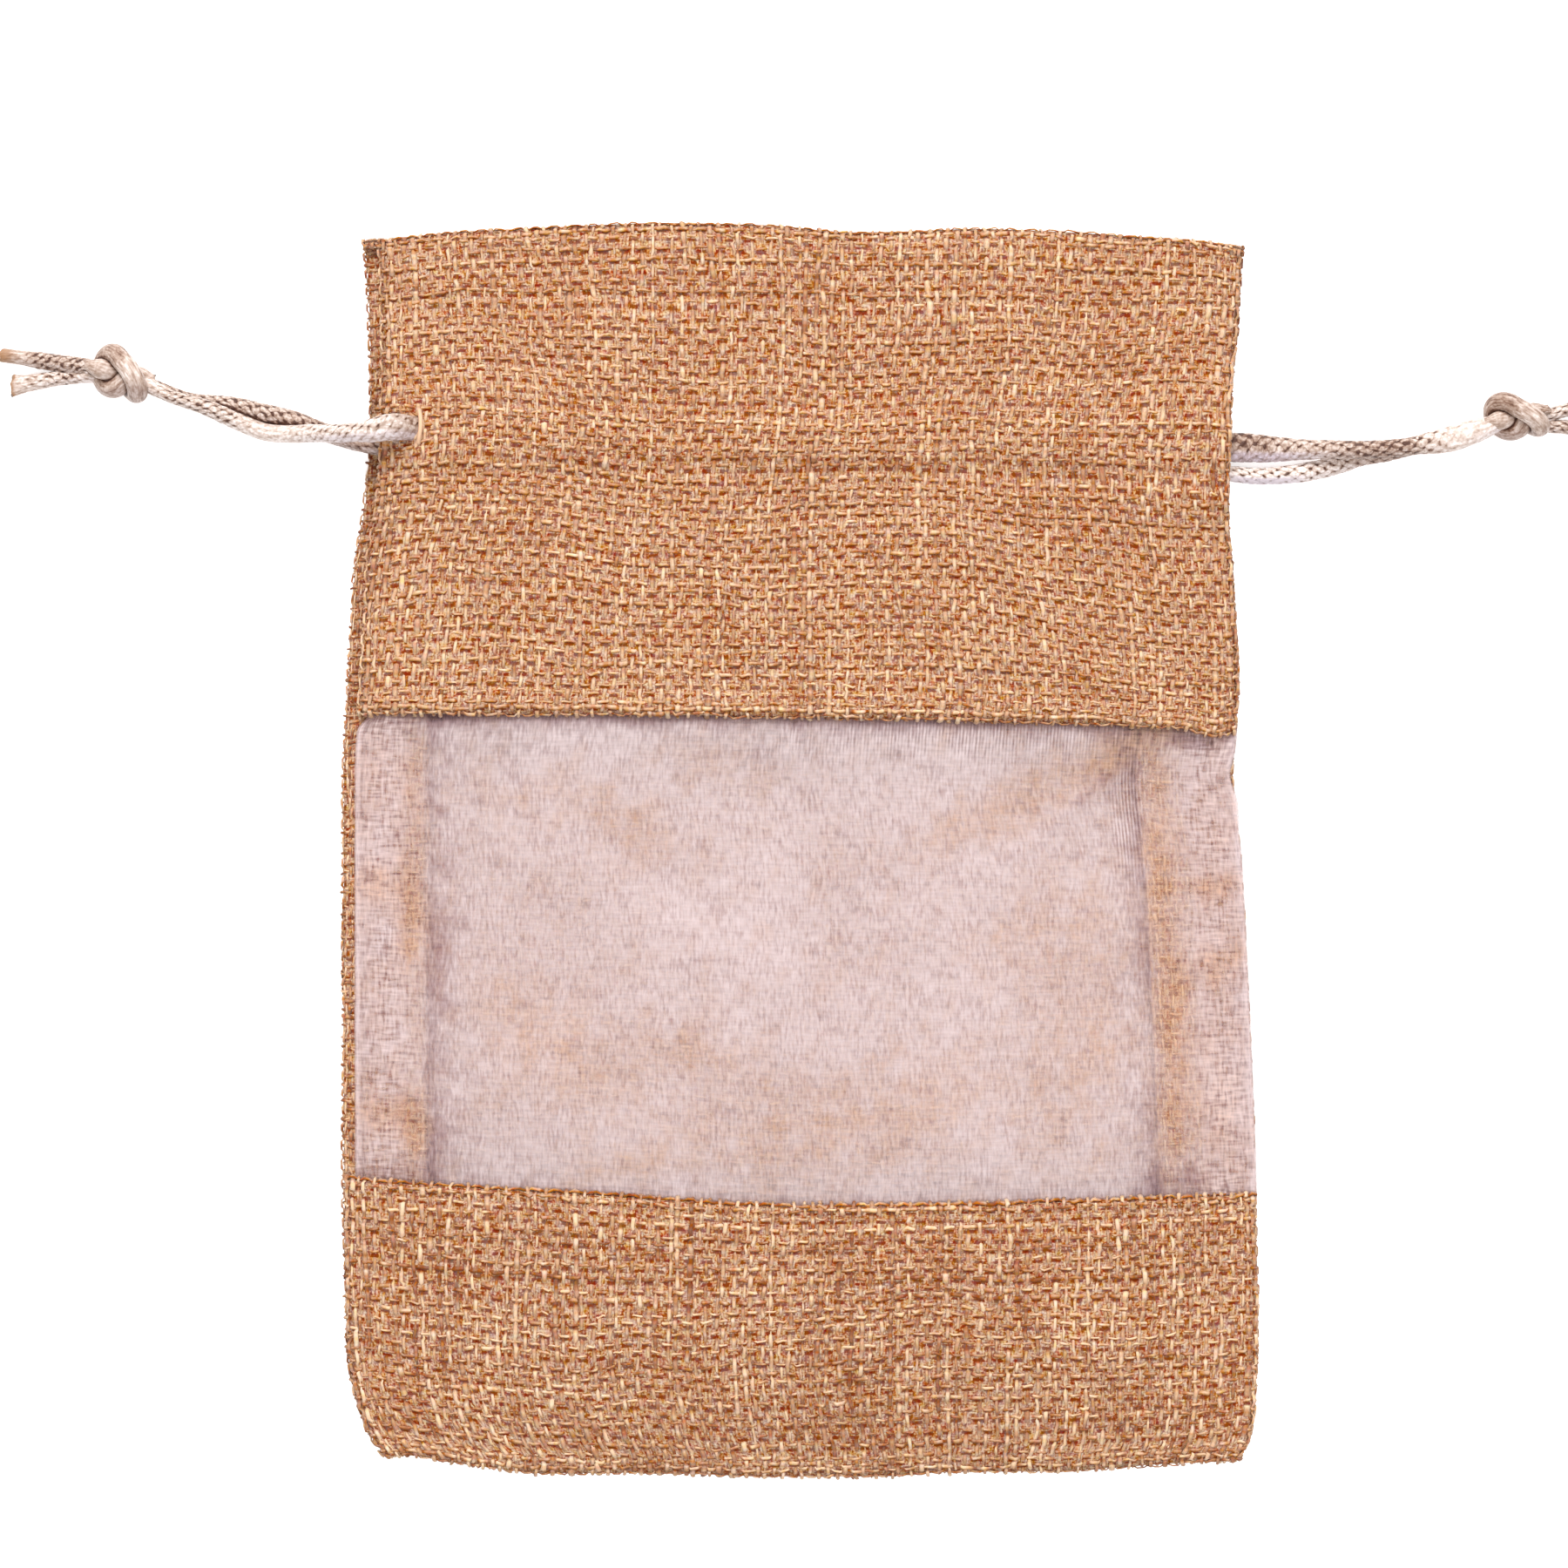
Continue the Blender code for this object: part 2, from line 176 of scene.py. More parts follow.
# How a quality varies: from yarn to yarn, in a drift along each yarn over about every mm, and from one stop
# of a yarn to the next.
Uneven = namedtuple("Uneven", "yarn drift every stop")
PLACE_UNEVEN = Uneven(0.0, 0.13, 5.0, 0.06)
HEIGHT_UNEVEN = Uneven(0.03, 0.05, 6.0, 0.025)
THICK_UNEVEN = Uneven(0.15, 0.16, 3.5, 0.1)
TONE_UNEVEN = Uneven(0.8, 0.9, 8.0, 1.1)
LENGTH_SPREAD = 0.05
SLUBS_EVERY = 4.0
SLUBS_FROM = 0.7  # the noise along a yarn from which it swells into a slub
SLUB_SWELL = 0.45
PATTERN_SHIFT = 40.0  # crossings from one yarn's stretch of colours to another's, in whole cycles
YARN_SEED = 11
EVEN_ENDS = 3.0  # so near the cloth's ends the yarns lie evenly
DRIFT_GROWS = 12.0  # the length in from an edge over which the yarns come to drift freely
# Half the woven cloth's thickness, the radius it folds over with at a hem, at an outer edge and at a cut
# one, and how far it goes on behind the mouth's hem and behind a side.
CLOTH_HALF = 0.44
HEM_ROLL = 0.42
EDGE_ROLL = 0.55
CUT_ROLL = 0.1
HEM_RETURN = 5.0
SIDE_RETURN = 1.7
UNFOLDED = -99.0  # a place that no yarn comes near, for a cloth whose far edge isn't folded
GROUND_SPACING = 1.0
GROUND_PAST = 0.2  # how far the ground reaches past the outer yarns
GROUND_HOLE = 1.1  # the area of the ground's hole over that of the yarns' hole

# The stitched lines of the cord's channel, along which the yarns get painted shade, and how the yarns'
# tone changes over the linen, with painted light on the seam allowances, which lie in the organza's shade.
SeamLine = namedtuple("SeamLine", "y slope")
CASING_SEAM = SeamLine(43.6, -0.028)
UPPER_SEAM_Y = 49.7
LOWER_GROOVE_Y = 42.3
ALLOWANCE_PAINTED_LIGHT = 1.2
BOTTOM_CONTRAST = 1.7
# The pale yarn that bulges at the right of the cord's hole, its heights above the cloth.
RIM_YARN = (
    (-42.9, 45.6, 0.0), (-42.75, 46.4, 0.4), (-42.6, 47.5, 0.55), (-42.65, 48.7, 0.4), (-42.9, 49.6, 0.0),
)
RIM_YARN_HALF = 0.25
RIM_YARN_TONE = 3.0
SEAM_SHOWS = 0.45  # how much wider the side seam shows at the left of the top panel than in the part
HemLump = namedtuple("HemLump", "x spread drop")
HEM_LUMP = HemLump(46.4, 2.4, 0.7)

# The cords and their knots. They follow the routes of the part's source to within a millimetre, and lie
# closer together than its solids do.
CORD_DIAMETER = 2.1
CORD_STEP = 0.11
CORD_SIDES = 32
BRAID_STRANDS = 6
BRAID_PITCH = 1.8
BRAID_RELIEF = 0.13
KNOT_RELIEF = 0.02
LEFT_FRONT = (
    (-39.0, 46.9, 2.6), (-41.6, 47.2, 3.0), (-43.6, 47.4, 5.2), (-45.8, 47.35, 7.2),
    (-48.4, 46.85, 7.4), (-50.7, 46.8, 6.4), (-52.7, 46.85, 5.1), (-55.2, 47.0, 3.5),
    (-57.8, 47.05, 2.1), (-60.8, 47.4, 1.35), (-64.1, 48.7, 1.9), (-67.3, 50.05, 3.0),
    (-70.6, 51.05, 3.2), (-72.6, 51.95, 3.1), (-74.0, 52.6, 2.9),
)
LEFT_BACK = (
    (-42.5, 45.0, 2.4), (-46.0, 45.4, 2.4), (-49.4, 46.0, 2.3), (-51.2, 46.5, 1.9),
    (-52.8, 46.95, 1.45), (-54.6, 47.6, 1.15), (-57.6, 48.75, 1.12), (-60.8, 49.5, 1.12),
    (-64.1, 50.3, 1.12), (-66.8, 50.65, 1.12), (-69.4, 51.05, 1.12), (-71.4, 51.75, 1.2),
    (-74.2, 52.9, 1.7),
)
RIGHT_UPPER = (
    (41.5, 45.7, 2.4), (45.0, 45.6, 2.4), (48.3, 45.5, 2.42), (50.8, 45.5, 1.95),
    (53.1, 45.4, 1.55), (55.7, 45.35, 1.6), (58.3, 45.25, 2.5), (60.9, 45.2, 3.2),
    (63.5, 45.15, 3.5), (67.5, 45.4, 3.4), (70.1, 45.8, 3.3), (72.7, 46.25, 3.3),
    (75.2, 47.0, 3.2), (77.8, 47.9, 2.9),
)
RIGHT_LOWER = (
    (41.5, 42.9, 2.4), (45.0, 42.75, 2.4), (48.1, 42.6, 2.2), (51.7, 42.35, 1.4),
    (55.7, 42.6, 1.12), (58.3, 43.05, 1.12), (60.9, 43.6, 1.12), (63.5, 44.5, 1.12),
    (66.2, 44.95, 1.12), (68.8, 45.6, 1.12), (71.4, 46.45, 1.12), (74.1, 47.3, 1.2),
    (77.6, 48.3, 1.7),
)
# How a cord looks at each distance out from the middle of the pouch: its width, how pale its satin is
# painted, which stands in for the sheen and shade along it, how deep its lower side lies in painted shade,
# and how deep the pits between its strands are, in relief and in painted shade, the last three from 0 to 1.
Look = namedtuple("Look", "out width tone shade pits")
LEFT_FRONT_LOOKS = (
    Look(43.6, 2.8, 0.35, 0.7, 0.4), Look(45.4, 3.0, 0.75, 0.5, 0.5), Look(47.5, 2.7, 0.9, 0.4, 0.7),
    Look(50.0, 2.1, 0.85, 0.5, 0.8), Look(55.0, 2.0, 0.95, 0.2, 0.5), Look(59.0, 2.0, 1.05, 0.05, 0.15),
    Look(62.5, 2.0, 1.0, 0.05, 0.3), Look(65.5, 1.85, 0.7, 0.1, 1.0), Look(69.5, 1.5, 0.65, 0.1, 1.0),
    Look(71.5, 1.45, 0.75, 0.1, 0.7), Look(73.5, 1.7, 0.95, 0.1, 0.3), Look(75.0, 1.4, 0.9, 0.2, 0.2),
    Look(77.0, 0.9, 0.6, 0.3, 0.2), Look(78.8, 1.6, 0.5, 0.3, 0.8), Look(80.2, 1.9, 0.45, 0.2, 1.0),
    Look(86.0, 1.9, 0.35, 0.2, 1.0), Look(88.2, 1.6, 0.7, 0.1, 0.3), Look(90.8, 1.5, 0.3, 0.0, 0.2),
)
LEFT_BACK_LOOKS = (
    Look(46.0, 2.1, 0.3, 0.4, 0.6), Look(51.0, 2.1, 0.25, 0.4, 0.6), Look(54.0, 2.0, 0.3, 0.3, 0.9),
    Look(57.0, 2.1, 0.35, 0.2, 0.9), Look(61.0, 2.1, 0.4, 0.2, 1.0), Look(65.0, 1.95, 0.5, 0.1, 1.0),
    Look(69.0, 1.6, 0.45, 0.1, 1.0), Look(72.0, 1.55, 0.4, 0.2, 0.8), Look(77.0, 0.9, 0.6, 0.3, 0.2),
    Look(78.8, 1.4, 0.8, 0.2, 0.3), Look(80.2, 1.6, 0.85, 0.2, 0.3), Look(83.0, 1.6, 0.65, 0.2, 1.0),
    Look(86.5, 1.7, 0.8, 0.1, 0.5), Look(89.4, 1.6, 0.75, 0.0, 0.1),
)
RIGHT_UPPER_LOOKS = (
    Look(47.0, 3.3, 0.1, 1.0, 1.0), Look(51.0, 3.2, 0.2, 1.0, 1.0), Look(54.0, 2.8, 0.45, 0.9, 0.9),
    Look(57.0, 2.3, 0.6, 0.6, 0.7), Look(62.0, 2.0, 0.35, 0.2, 0.9), Look(66.0, 1.95, 0.15, 0.2, 1.0),
    Look(69.0, 2.0, 0.4, 0.1, 1.0), Look(71.0, 2.5, 0.8, 0.1, 0.7), Look(74.0, 2.9, 1.0, 0.05, 0.25),
    Look(77.0, 2.5, 1.0, 0.2, 0.15), Look(79.0, 1.5, 0.8, 0.5, 0.1), Look(80.7, 0.9, 0.6, 0.3, 0.2),
    Look(84.0, 1.4, 0.7, 0.2, 0.8), Look(88.0, 1.5, 0.6, 0.1, 0.9), Look(93.8, 1.5, 0.5, 0.0, 0.3),
)
RIGHT_LOWER_LOOKS = (
    Look(47.0, 1.7, 0.95, 0.3, 0.6), Look(51.0, 1.8, 1.0, 0.8, 1.0), Look(55.0, 2.0, 0.95, 0.7, 1.0),
    Look(58.0, 2.15, 0.9, 0.2, 0.9), Look(61.5, 1.9, 0.75, 0.2, 0.9), Look(64.5, 1.9, 0.3, 0.2, 0.9),
    Look(70.0, 1.8, 0.3, 0.1, 0.8), Look(76.0, 1.5, 0.3, 0.2, 0.6), Look(80.7, 0.9, 0.5, 0.3, 0.2),
    Look(84.0, 1.5, 0.5, 0.2, 0.8), Look(92.2, 1.6, 0.5, 0.0, 0.4),
)
CordEnd = namedtuple("CordEnd", "flare scorch slant")
Cord = namedtuple("Cord", "name route inside tail exit knot nodes looks lean end")
CORDS = (
    Cord(
        "left_front_cord", LEFT_FRONT, (-77.2, 53.6, 2.5),
        (
            (-80.4, 54.6, 1.7), (-82.5, 54.95, 1.3), (-85.0, 55.3, 1.0), (-87.6, 55.7, 1.0),
            (-90.6, 56.1, 1.0),
        ),
        (-43.6, 47.4, 5.2), "left_knot_satin", ("left_cord_front", "left_tail_upper"),
        LEFT_FRONT_LOOKS, 2.4, CordEnd(0.05, 1.5, 0.15),
    ),
    Cord(
        "left_back_cord", LEFT_BACK, (-77.2, 53.4, 2.2),
        ((-80.2, 53.7, 1.5), (-82.5, 53.65, 0.95), (-85.0, 53.35, 0.9), (-89.3, 52.6, 1.0)),
        (-49.4, 46.0, 2.3), None, ("left_cord_back", "left_tail_lower"),
        LEFT_BACK_LOOKS, -1.6, CordEnd(0.6, 0.25, 0.35),
    ),
    Cord(
        "right_upper_cord", RIGHT_UPPER, (80.8, 48.7, 2.5),
        ((84.0, 49.1, 1.8), (87.0, 49.9, 1.3), (90.2, 50.4, 0.95), (93.6, 50.9, 1.0)),
        (48.3, 45.5, 2.42), "right_knot_satin", ("right_cord_upper", "right_tail_upper"),
        RIGHT_UPPER_LOOKS, 0.9, CordEnd(0.3, 0.5, 0.3),
    ),
    Cord(
        "right_lower_cord", RIGHT_LOWER, (80.7, 48.5, 2.2),
        ((84.0, 48.1, 1.5), (87.0, 47.9, 1.0), (89.4, 47.5, 0.95), (92.0, 47.0, 1.0)),
        (48.1, 42.8, 2.3), None, ("right_cord_lower", "right_tail_lower"),
        RIGHT_LOWER_LOOKS, -0.9, CordEnd(0.5, 0.3, -0.3),
    ),
)
Knot = namedtuple("Knot", "name x y z length heading roll tone node")
KNOTS = (
    Knot("left_knot_satin", -76.8, 53.85, 2.97, 7.0, -16.0, 142.0, 0.3, "left_knot"),
    Knot("right_knot_satin", 80.7, 48.95, 2.97, 6.7, 6.0, 122.0, 0.2, "right_knot"),
)
KNOT_PITS = 0.12
KNOT_ACROSS = 3.5  # how long a knot is, in strands across
KNOT_REACH = 2.0  # how far out to each side its strand is kept, in strands across
KNOT_TAPER = 1.6  # the length over which the strand thickens at each end
# How the knot's loose loop is drawn tight: the spacing of its points, in strands across, and the steps.
KNOT_SPACING = 0.22
PULL_STEPS = 650
PULL = 0.05
SETTLING = 12

# The organza of the window.
ORGANZA_CLEARANCE = 0.45
ORGANZA_ALLOWANCE = 5.6
ORGANZA_ROLL = 0.35
ORGANZA_WIDTH = 99.6
ORGANZA_LENGTH = 53.2
PLEAT_WIDTH = 0.38
ORGANZA_HIDDEN = 0.6  # how far the organza reaches in under each hem
# The waves in its right edge.
Notch = namedtuple("Notch", "y spread depth")
RIGHT_NOTCHES = (Notch(8.6, 1.6, 0.45), Notch(5.0, 1.8, -0.3))
# Where the organza lies on what is behind it, so that this glows through: first in the window, then on the
# two seam allowances.
CONTACTS = (
    Patch(-20.0, 3.5, -25.0, 7.0, 3.0, 0.3),
    Patch(-33.0, 6.0, -30.0, 5.0, 2.5, 0.15),
    Patch(-9.0, 9.5, -10.0, 6.0, 2.5, 0.15),
    Patch(35.0, 11.0, 40.0, 4.0, 1.8, 0.5),
    Patch(24.0, 5.5, 24.0, 11.0, 2.8, 0.35),
    Patch(28.0, -8.0, 30.0, 9.0, 4.0, 0.2),
    Patch(31.0, -22.0, 70.0, 13.0, 7.0, 0.22),
    Patch(2.0, -31.0, 10.0, 15.0, 5.0, 0.3),
    Patch(14.0, -28.0, 60.0, 5.0, 3.0, 0.2),
    Patch(-12.0, -22.5, -20.0, 7.0, 2.6, 0.3),
    Patch(-28.0, -22.0, -35.0, 11.0, 5.0, 0.3),
    Patch(-20.0, -35.0, 15.0, 6.0, 2.0, 0.25),
    Patch(-43.8, -8.0, 90.0, 5.0, 1.4, 0.8),
    Patch(-43.6, -31.0, 90.0, 3.5, 1.4, 0.9),
    Patch(-43.8, 5.0, 90.0, 8.0, 1.5, 0.3),
    Patch(-47.5, -4.0, 0.0, 3.0, 2.0, 0.4),
    Patch(-47.0, -29.5, 0.0, 4.0, 1.5, 0.5),
    Patch(40.6, -4.5, 90.0, 5.0, 1.5, 0.8),
    Patch(41.8, -18.0, 92.0, 6.5, 1.6, 1.0),
    Patch(41.8, -30.0, 90.0, 5.0, 1.6, 0.6),
    Patch(46.5, -4.0, 10.0, 3.0, 1.6, 0.5),
    Patch(47.0, -13.0, 35.0, 3.5, 1.6, 0.6),
    Patch(40.0, 6.0, 90.0, 8.0, 1.3, 0.5),
    Patch(46.0, -29.0, 90.0, 6.0, 3.0, 0.25),
)
# Where it lies in the shade of a fold or of a hem.
SHADES = (
    Patch(-40.3, -12.0, 90.0, 7.0, 1.8, 0.2),
    Patch(-45.5, -36.3, 0.0, 4.0, 1.2, 0.4),
    Patch(43.5, -36.8, 0.0, 3.0, 1.3, 0.5),
    Patch(35.5, 11.2, 40.0, 4.0, 1.2, 0.4),
    Patch(44.0, 12.3, 0.0, 5.0, 1.0, 0.4),
)
# Its own small folds, and where it is finely pleated.
CREASES = (
    Patch(33.5, 7.0, 40.0, 7.5, 0.5, 0.25),
    Patch(-8.0, -30.0, 62.0, 6.0, 0.7, 0.12),
    Patch(-33.0, 9.0, -48.0, 6.0, 0.7, 0.12),
)
PLEATS = (Patch(36.6, 4.0, 90.0, 6.5, 1.6, 0.7), Patch(20.0, 12.5, 0.0, 18.0, 2.5, 0.5))

# The view: straight down, as the photograph was taken.
LENS = 85.0
SENSOR = 36.0
CAMERA_PLACE = (-1.9, 7.5, 420.5)
TABLE_HALF = 900.0
Light = namedtuple("Light", "name x y z size power")
LIGHTS = (
    Light("key", -150.0, 750.0, 700.0, 700.0, 11.0),
    Light("fill", 200.0, -200.0, 900.0, 700.0, 4.5),
)
ROOM_LIGHT = 0.54


def read_table(rows, at, key, value):
    """A smooth curve through the rows of a short table, with no overshoot, where column key is at."""
    known = np.array([getattr(row, key) for row in rows])
    values = np.array([getattr(row, value) for row in rows])
    secants = np.diff(values) / np.diff(known)
    before, after = secants[:-1], secants[1:]
    turns = before * after <= 0
    inner = np.where(turns, 0.0, 2 * before * after / np.where(turns, 1.0, before + after))
    slopes = np.concatenate([secants[:1], inner, secants[-1:]])
    at = np.clip(at, known[0], known[-1])
    i = np.clip(np.searchsorted(known, at, side="right") - 1, 0, len(known) - 2)
    step = known[i + 1] - known[i]
    t = (at - known[i]) / step
    return (
        (1 + 2 * t) * (1 - t) ** 2 * values[i]
        + t * (1 - t) ** 2 * step * slopes[i]
        + t * t * (3 - 2 * t) * values[i + 1]
        + t * t * (t - 1) * step * slopes[i + 1]
    )


def side_left(y):
    return read_table(SIDES, y, "y", "left")


def side_right(y):
    return read_table(SIDES, y, "y", "right")


def edge_y(edge, x):
    """The height on the page of the cloth's edge or of a hem at each x."""
    return read_table(edge, x, "x", "y")


def inward_of(x, y):
    """How far each point lies in from the nearer side seam."""
    return np.minimum(x - side_left(y), side_right(y) - x)


def spots(x, y, patches):
    """The sum of soft oval patches, each at its own heading."""
    total = np.zeros_like(x)
    for patch in patches:
        turn = math.radians(patch.heading)
        far = (x - patch.x) * math.cos(turn) + (y - patch.y) * math.sin(turn)
        aside = (y - patch.y) * math.cos(turn) - (x - patch.x) * math.sin(turn)
        total += patch.weight * np.exp(-((far / patch.reach) ** 2) - (aside / patch.spread) ** 2)
    return total


def front_underside(x, y):
    """The height of the front panels' inner face, as the part's source has it."""
    left, right = side_left(y), side_right(y)
    u = np.abs(np.clip(2 * (x - left) / (right - left) - 1, -1.0, 1.0))
    from_bottom = y - edge_y(BOTTOM_EDGE, x)
    rise = 1 - np.maximum(1 - from_bottom / BOTTOM_RISE, 0.0) ** CROWN_POWER
    to_mouth = np.clip((y - CHANNEL_Y) / (MOUTH_Y - CHANNEL_Y), 0.0, 1.0)
    flat_rim = 1 - u**CROWN_POWER
    crown = CROWN * flat_rim * rise * (1 - MOUTH_DROP * to_mouth)
    lift = read_table(SIDE_LIFTS, y, "y", "height") * u**SIDE_LIFT_POWER
    ridge = CHANNEL_RIDGE * np.exp(-(((y - CHANNEL_Y) / CHANNEL_SPREAD) ** 2))
    return BACK_THICKNESS + CLEARANCE + crown + lift + ridge + spots(x, y, FOLDS) * flat_rim * rise


def bell(at, middle, spread):
    """1 at the middle, falling softly to 0 beyond spread."""
    return np.exp(-(((at - middle) / spread) ** 2))


def soft_waves(x, y, seed, wavelength, count=9):
    """A gentle random surface between about -1 and 1, from plane waves near one length."""
    rng = np.random.default_rng(seed)
    total = np.zeros_like(x)
    for _ in range(count):
        heading, phase = rng.uniform(0, 2 * math.pi, 2)
        number = 2 * math.pi / (wavelength * rng.uniform(0.7, 1.6))
        total += np.sin(number * (x * math.cos(heading) + y * math.sin(heading)) + phase)
    return total / math.sqrt(count / 2) / 1.6


def noise_along(rng, count, steps, spacing, every):
    """Soft random values along each of count yarns, changing over about every millimetres."""
    knots = rng.normal(size=(count, int(steps * spacing / every) + 4))
    at = np.arange(steps) * spacing / every + rng.random((count, 1))
    i = at.astype(int)
    t = at - i
    t = t * t * (3 - 2 * t)
    rows = np.arange(count)[:, None]
    return knots[rows, i] * (1 - t) + knots[rows, i + 1] * t


def unit(vectors):
    return vectors / np.linalg.norm(vectors, axis=-1, keepdims=True)


def reached(points):
    """How far along a chain each of its points lies."""
    return np.concatenate([[0.0], np.cumsum(np.linalg.norm(np.diff(points, axis=0), axis=1))])


def points_at(stops, along, points):
    """Points on a chain, each at its distance along it."""
    return np.stack([np.interp(stops, along, points[:, k]) for k in range(3)], axis=1)


# Meshes


def new_piece(name, points, faces, material):
    """An object from points in millimetres and a list of face arrays, each with its own corner count."""
    mesh = bpy.data.meshes.new(name)
    corners = np.concatenate([face.ravel() for face in faces])
    sizes = np.concatenate([np.full(len(face), face.shape[1]) for face in faces])
    mesh.vertices.add(len(points))
    mesh.vertices.foreach_set("co", (np.asarray(points) * MM).astype(np.float32).ravel())
    mesh.loops.add(len(corners))
    mesh.loops.foreach_set("vertex_index", corners.astype(np.int32))
    mesh.polygons.add(len(sizes))
    starts = np.concatenate([[0], np.cumsum(sizes)[:-1]])
    mesh.polygons.foreach_set("loop_start", starts.astype(np.int32))
    mesh.update(calc_edges=True)
    mesh.validate()
    mesh.shade_smooth()
    mesh.materials.append(material)
    made = bpy.data.objects.new(name, mesh)
    bpy.context.scene.collection.objects.link(made)
    return made


def give(piece, name, *columns):
    """Gives each point of a piece a number, or a vector of three."""
    kind, field = ("FLOAT", "value") if len(columns) == 1 else ("FLOAT_VECTOR", "vector")
    values = np.stack(np.broadcast_arrays(*columns), axis=-1)
    layer = piece.data.attributes.new(name, kind, "POINT")
    layer.data.foreach_set(field, values.astype(np.float32).ravel())


def dress(piece, slot, *nodes):
    """Fixes a piece to the part's body and hides the part's nodes whose looks it is. The slot is not used.
    """
    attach(piece, "root")
    if nodes:
        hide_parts(*nodes)


def grid_quads(rows, columns):
    index = np.arange(rows * columns).reshape(rows, columns)
    quads = np.stack([index[:-1, :-1], index[:-1, 1:], index[1:, 1:], index[1:, :-1]], axis=-1)
    return quads.reshape(-1, 4)


def tube_cells(tubes, steps, sides):
    """The tube, the step and the side of every quad."""
    return np.meshgrid(np.arange(tubes), np.arange(steps - 1), np.arange(sides), indexing="ij")


def tube_faces(tubes, steps, sides):
    """The quads and the two end caps of each tube, whose rings follow one another."""
    tube, step, k = tube_cells(tubes, steps, sides)
    ring = (tube * steps + step) * sides
    beside = (k + 1) % sides
    quads = np.stack([ring + k, ring + sides + k, ring + sides + beside, ring + beside], axis=-1)
    first = np.arange(tubes)[:, None] * steps * sides
    turn = np.arange(sides)[None, :]
    return quads.reshape(-1, 4), first + turn, first + (steps - 1) * sides + turn[:, ::-1]


def give_strips(piece, tubes, steps, sides):
    """A UV map that gives every tube its own straight strip."""
    tube, step, k = tube_cells(tubes, steps, sides)
    u = np.stack([step, step + 1, step + 1, step], axis=-1) / (steps - 1)
    v = (tube[..., None] + 0.06 + 0.88 * np.stack([k, k, k + 1, k + 1], axis=-1) / sides) / tubes
    quads = np.stack([u, v], axis=-1).reshape(-1, 2)
    middle = np.repeat((np.arange(tubes) + 0.5) / tubes, sides)
    caps = [np.stack([np.full(middle.size, u), middle], axis=-1) for u in (0.001, 0.999)]
    layer = piece.data.uv_layers.new(name="OFBake")
    layer.data.foreach_set("uv", np.concatenate([quads, *caps]).astype(np.float32).ravel())


def tubes_piece(name, centres, side, up, wide, high, sides, material, along, tone, facing=1):
    """Flattened tubes: centres, side and up are (tubes, steps, 3), and wide and high their half sizes. One
    corner of each ring is on its upper side where facing is 1, and on its lower side where it is -1."""
    tubes, steps = centres.shape[:2]
    turns = facing * math.pi / 2 + np.arange(sides) * 2 * math.pi / sides
    cos, sin = np.cos(turns)[None, None, :, None], np.sin(turns)[None, None, :, None]
    rings = (
        centres[:, :, None, :]
        + wide[:, :, None, None] * cos * side[:, :, None, :]
        + high[:, :, None, None] * sin * up[:, :, None, :]
    )
    piece = new_piece(name, rings.reshape(-1, 3), tube_faces(tubes, steps, sides), material)
    give(piece, "yarn", along[:, :, None], cos[..., 0], sin[..., 0])
    give(piece, "tone", np.broadcast_to(tone[:, :, None], rings.shape[:3]))
    give_strips(piece, tubes, steps, sides)
    return piece


# Cloth

Cloth = namedtuple("Cloth", "name width length place middle roll turn seed opening warps wefts")


def yarn_places(low, high, pitch, flat, seed):
    """Where the yarns of one kind lie between low and high: closer together at the folds at 0 and flat."""
    places = [low]
    while places[-1] < high:
        crowded = bell(places[-1], 0.0, EDGE_REACH) + bell(places[-1], flat, EDGE_REACH)
        places.append(places[-1] + pitch * (1 - EDGE_CROWDING * min(crowded, 1.0)))
    places = np.array(places)
    inside = np.minimum(places - low, high - places) > EVEN_ENDS
    spread = np.clip(np.random.default_rng(seed).normal(size=len(places)), -2.0, 2.0)
    return places + PLACE_SPREAD * spread * inside


def crossings(places, reach):
    """Two stops at each crossed yarn, reach crossings to each side of it, and their places in crossings."""
    gaps = np.diff(places)
    before = places - reach * np.concatenate([gaps[:1], gaps])
    after = places + reach * np.concatenate([gaps, gaps[-1:]])
    stops = np.stack([before, after], axis=1).ravel()
    count = np.arange(len(places)) + 0.5
    return stops, np.stack([count - reach, count + reach], axis=1).ravel()


def folded(at, flat, roll):
    """Where a strip lies and how far it has turned away, when it folds over past 0 and past flat."""
    past = np.maximum(-at, at - flat)
    turn = np.clip(past / roll, 0.0, math.pi)
    reach = roll * np.sin(turn) - np.maximum(past - math.pi * roll, 0.0)
    outward = np.where(at < flat / 2, -reach, flat + reach)
    return np.where(past > 0, outward, at), roll * (1 - np.cos(turn))


def cloth_points(cloth, across, along, part):
    """Points of a cloth's middle surface, with its edges folded over."""
    edge_u = np.clip(np.minimum(across, cloth.width - across) / DRIFT_GROWS, 0, 1)
    edge_v = np.clip(np.minimum(along, cloth.length - along) / DRIFT_GROWS, 0, 1)
    u = across + 0.55 * soft_waves(across, along, cloth.seed, 60) * edge_u
    u = u + 0.16 * soft_waves(across, along, cloth.seed + 1, 14) * edge_u
    v = along + 1.1 * soft_waves(across, along, cloth.seed + 2, 62) * edge_v
    v = v + 0.2 * soft_waves(across, along, cloth.seed + 3, 15) * edge_v
    u, drop_u = folded(u, cloth.width, cloth.roll)
    v, drop_v = folded(v, cloth.length, cloth.roll)
    x, y = cloth.place(u / cloth.width, v / cloth.length)
    if cloth.opening:
        x, y = push_aside(x, y, cloth.opening, part)
    z = cloth.middle(x, y) - cloth.turn * (drop_u * edge_room(cloth, y) + drop_v)
    return np.stack([x, y, z], axis=-1)


def edge_room(cloth, y):
    """How far a cloth's sides may roll, from 0 to 1: the back panel's lie flat where the cords leave."""
    return 1.0 if cloth.turn > 0 else 1 - 0.85 * bell(y, CORDS_LEAVE_Y, CORDS_LEAVE_SPREAD)


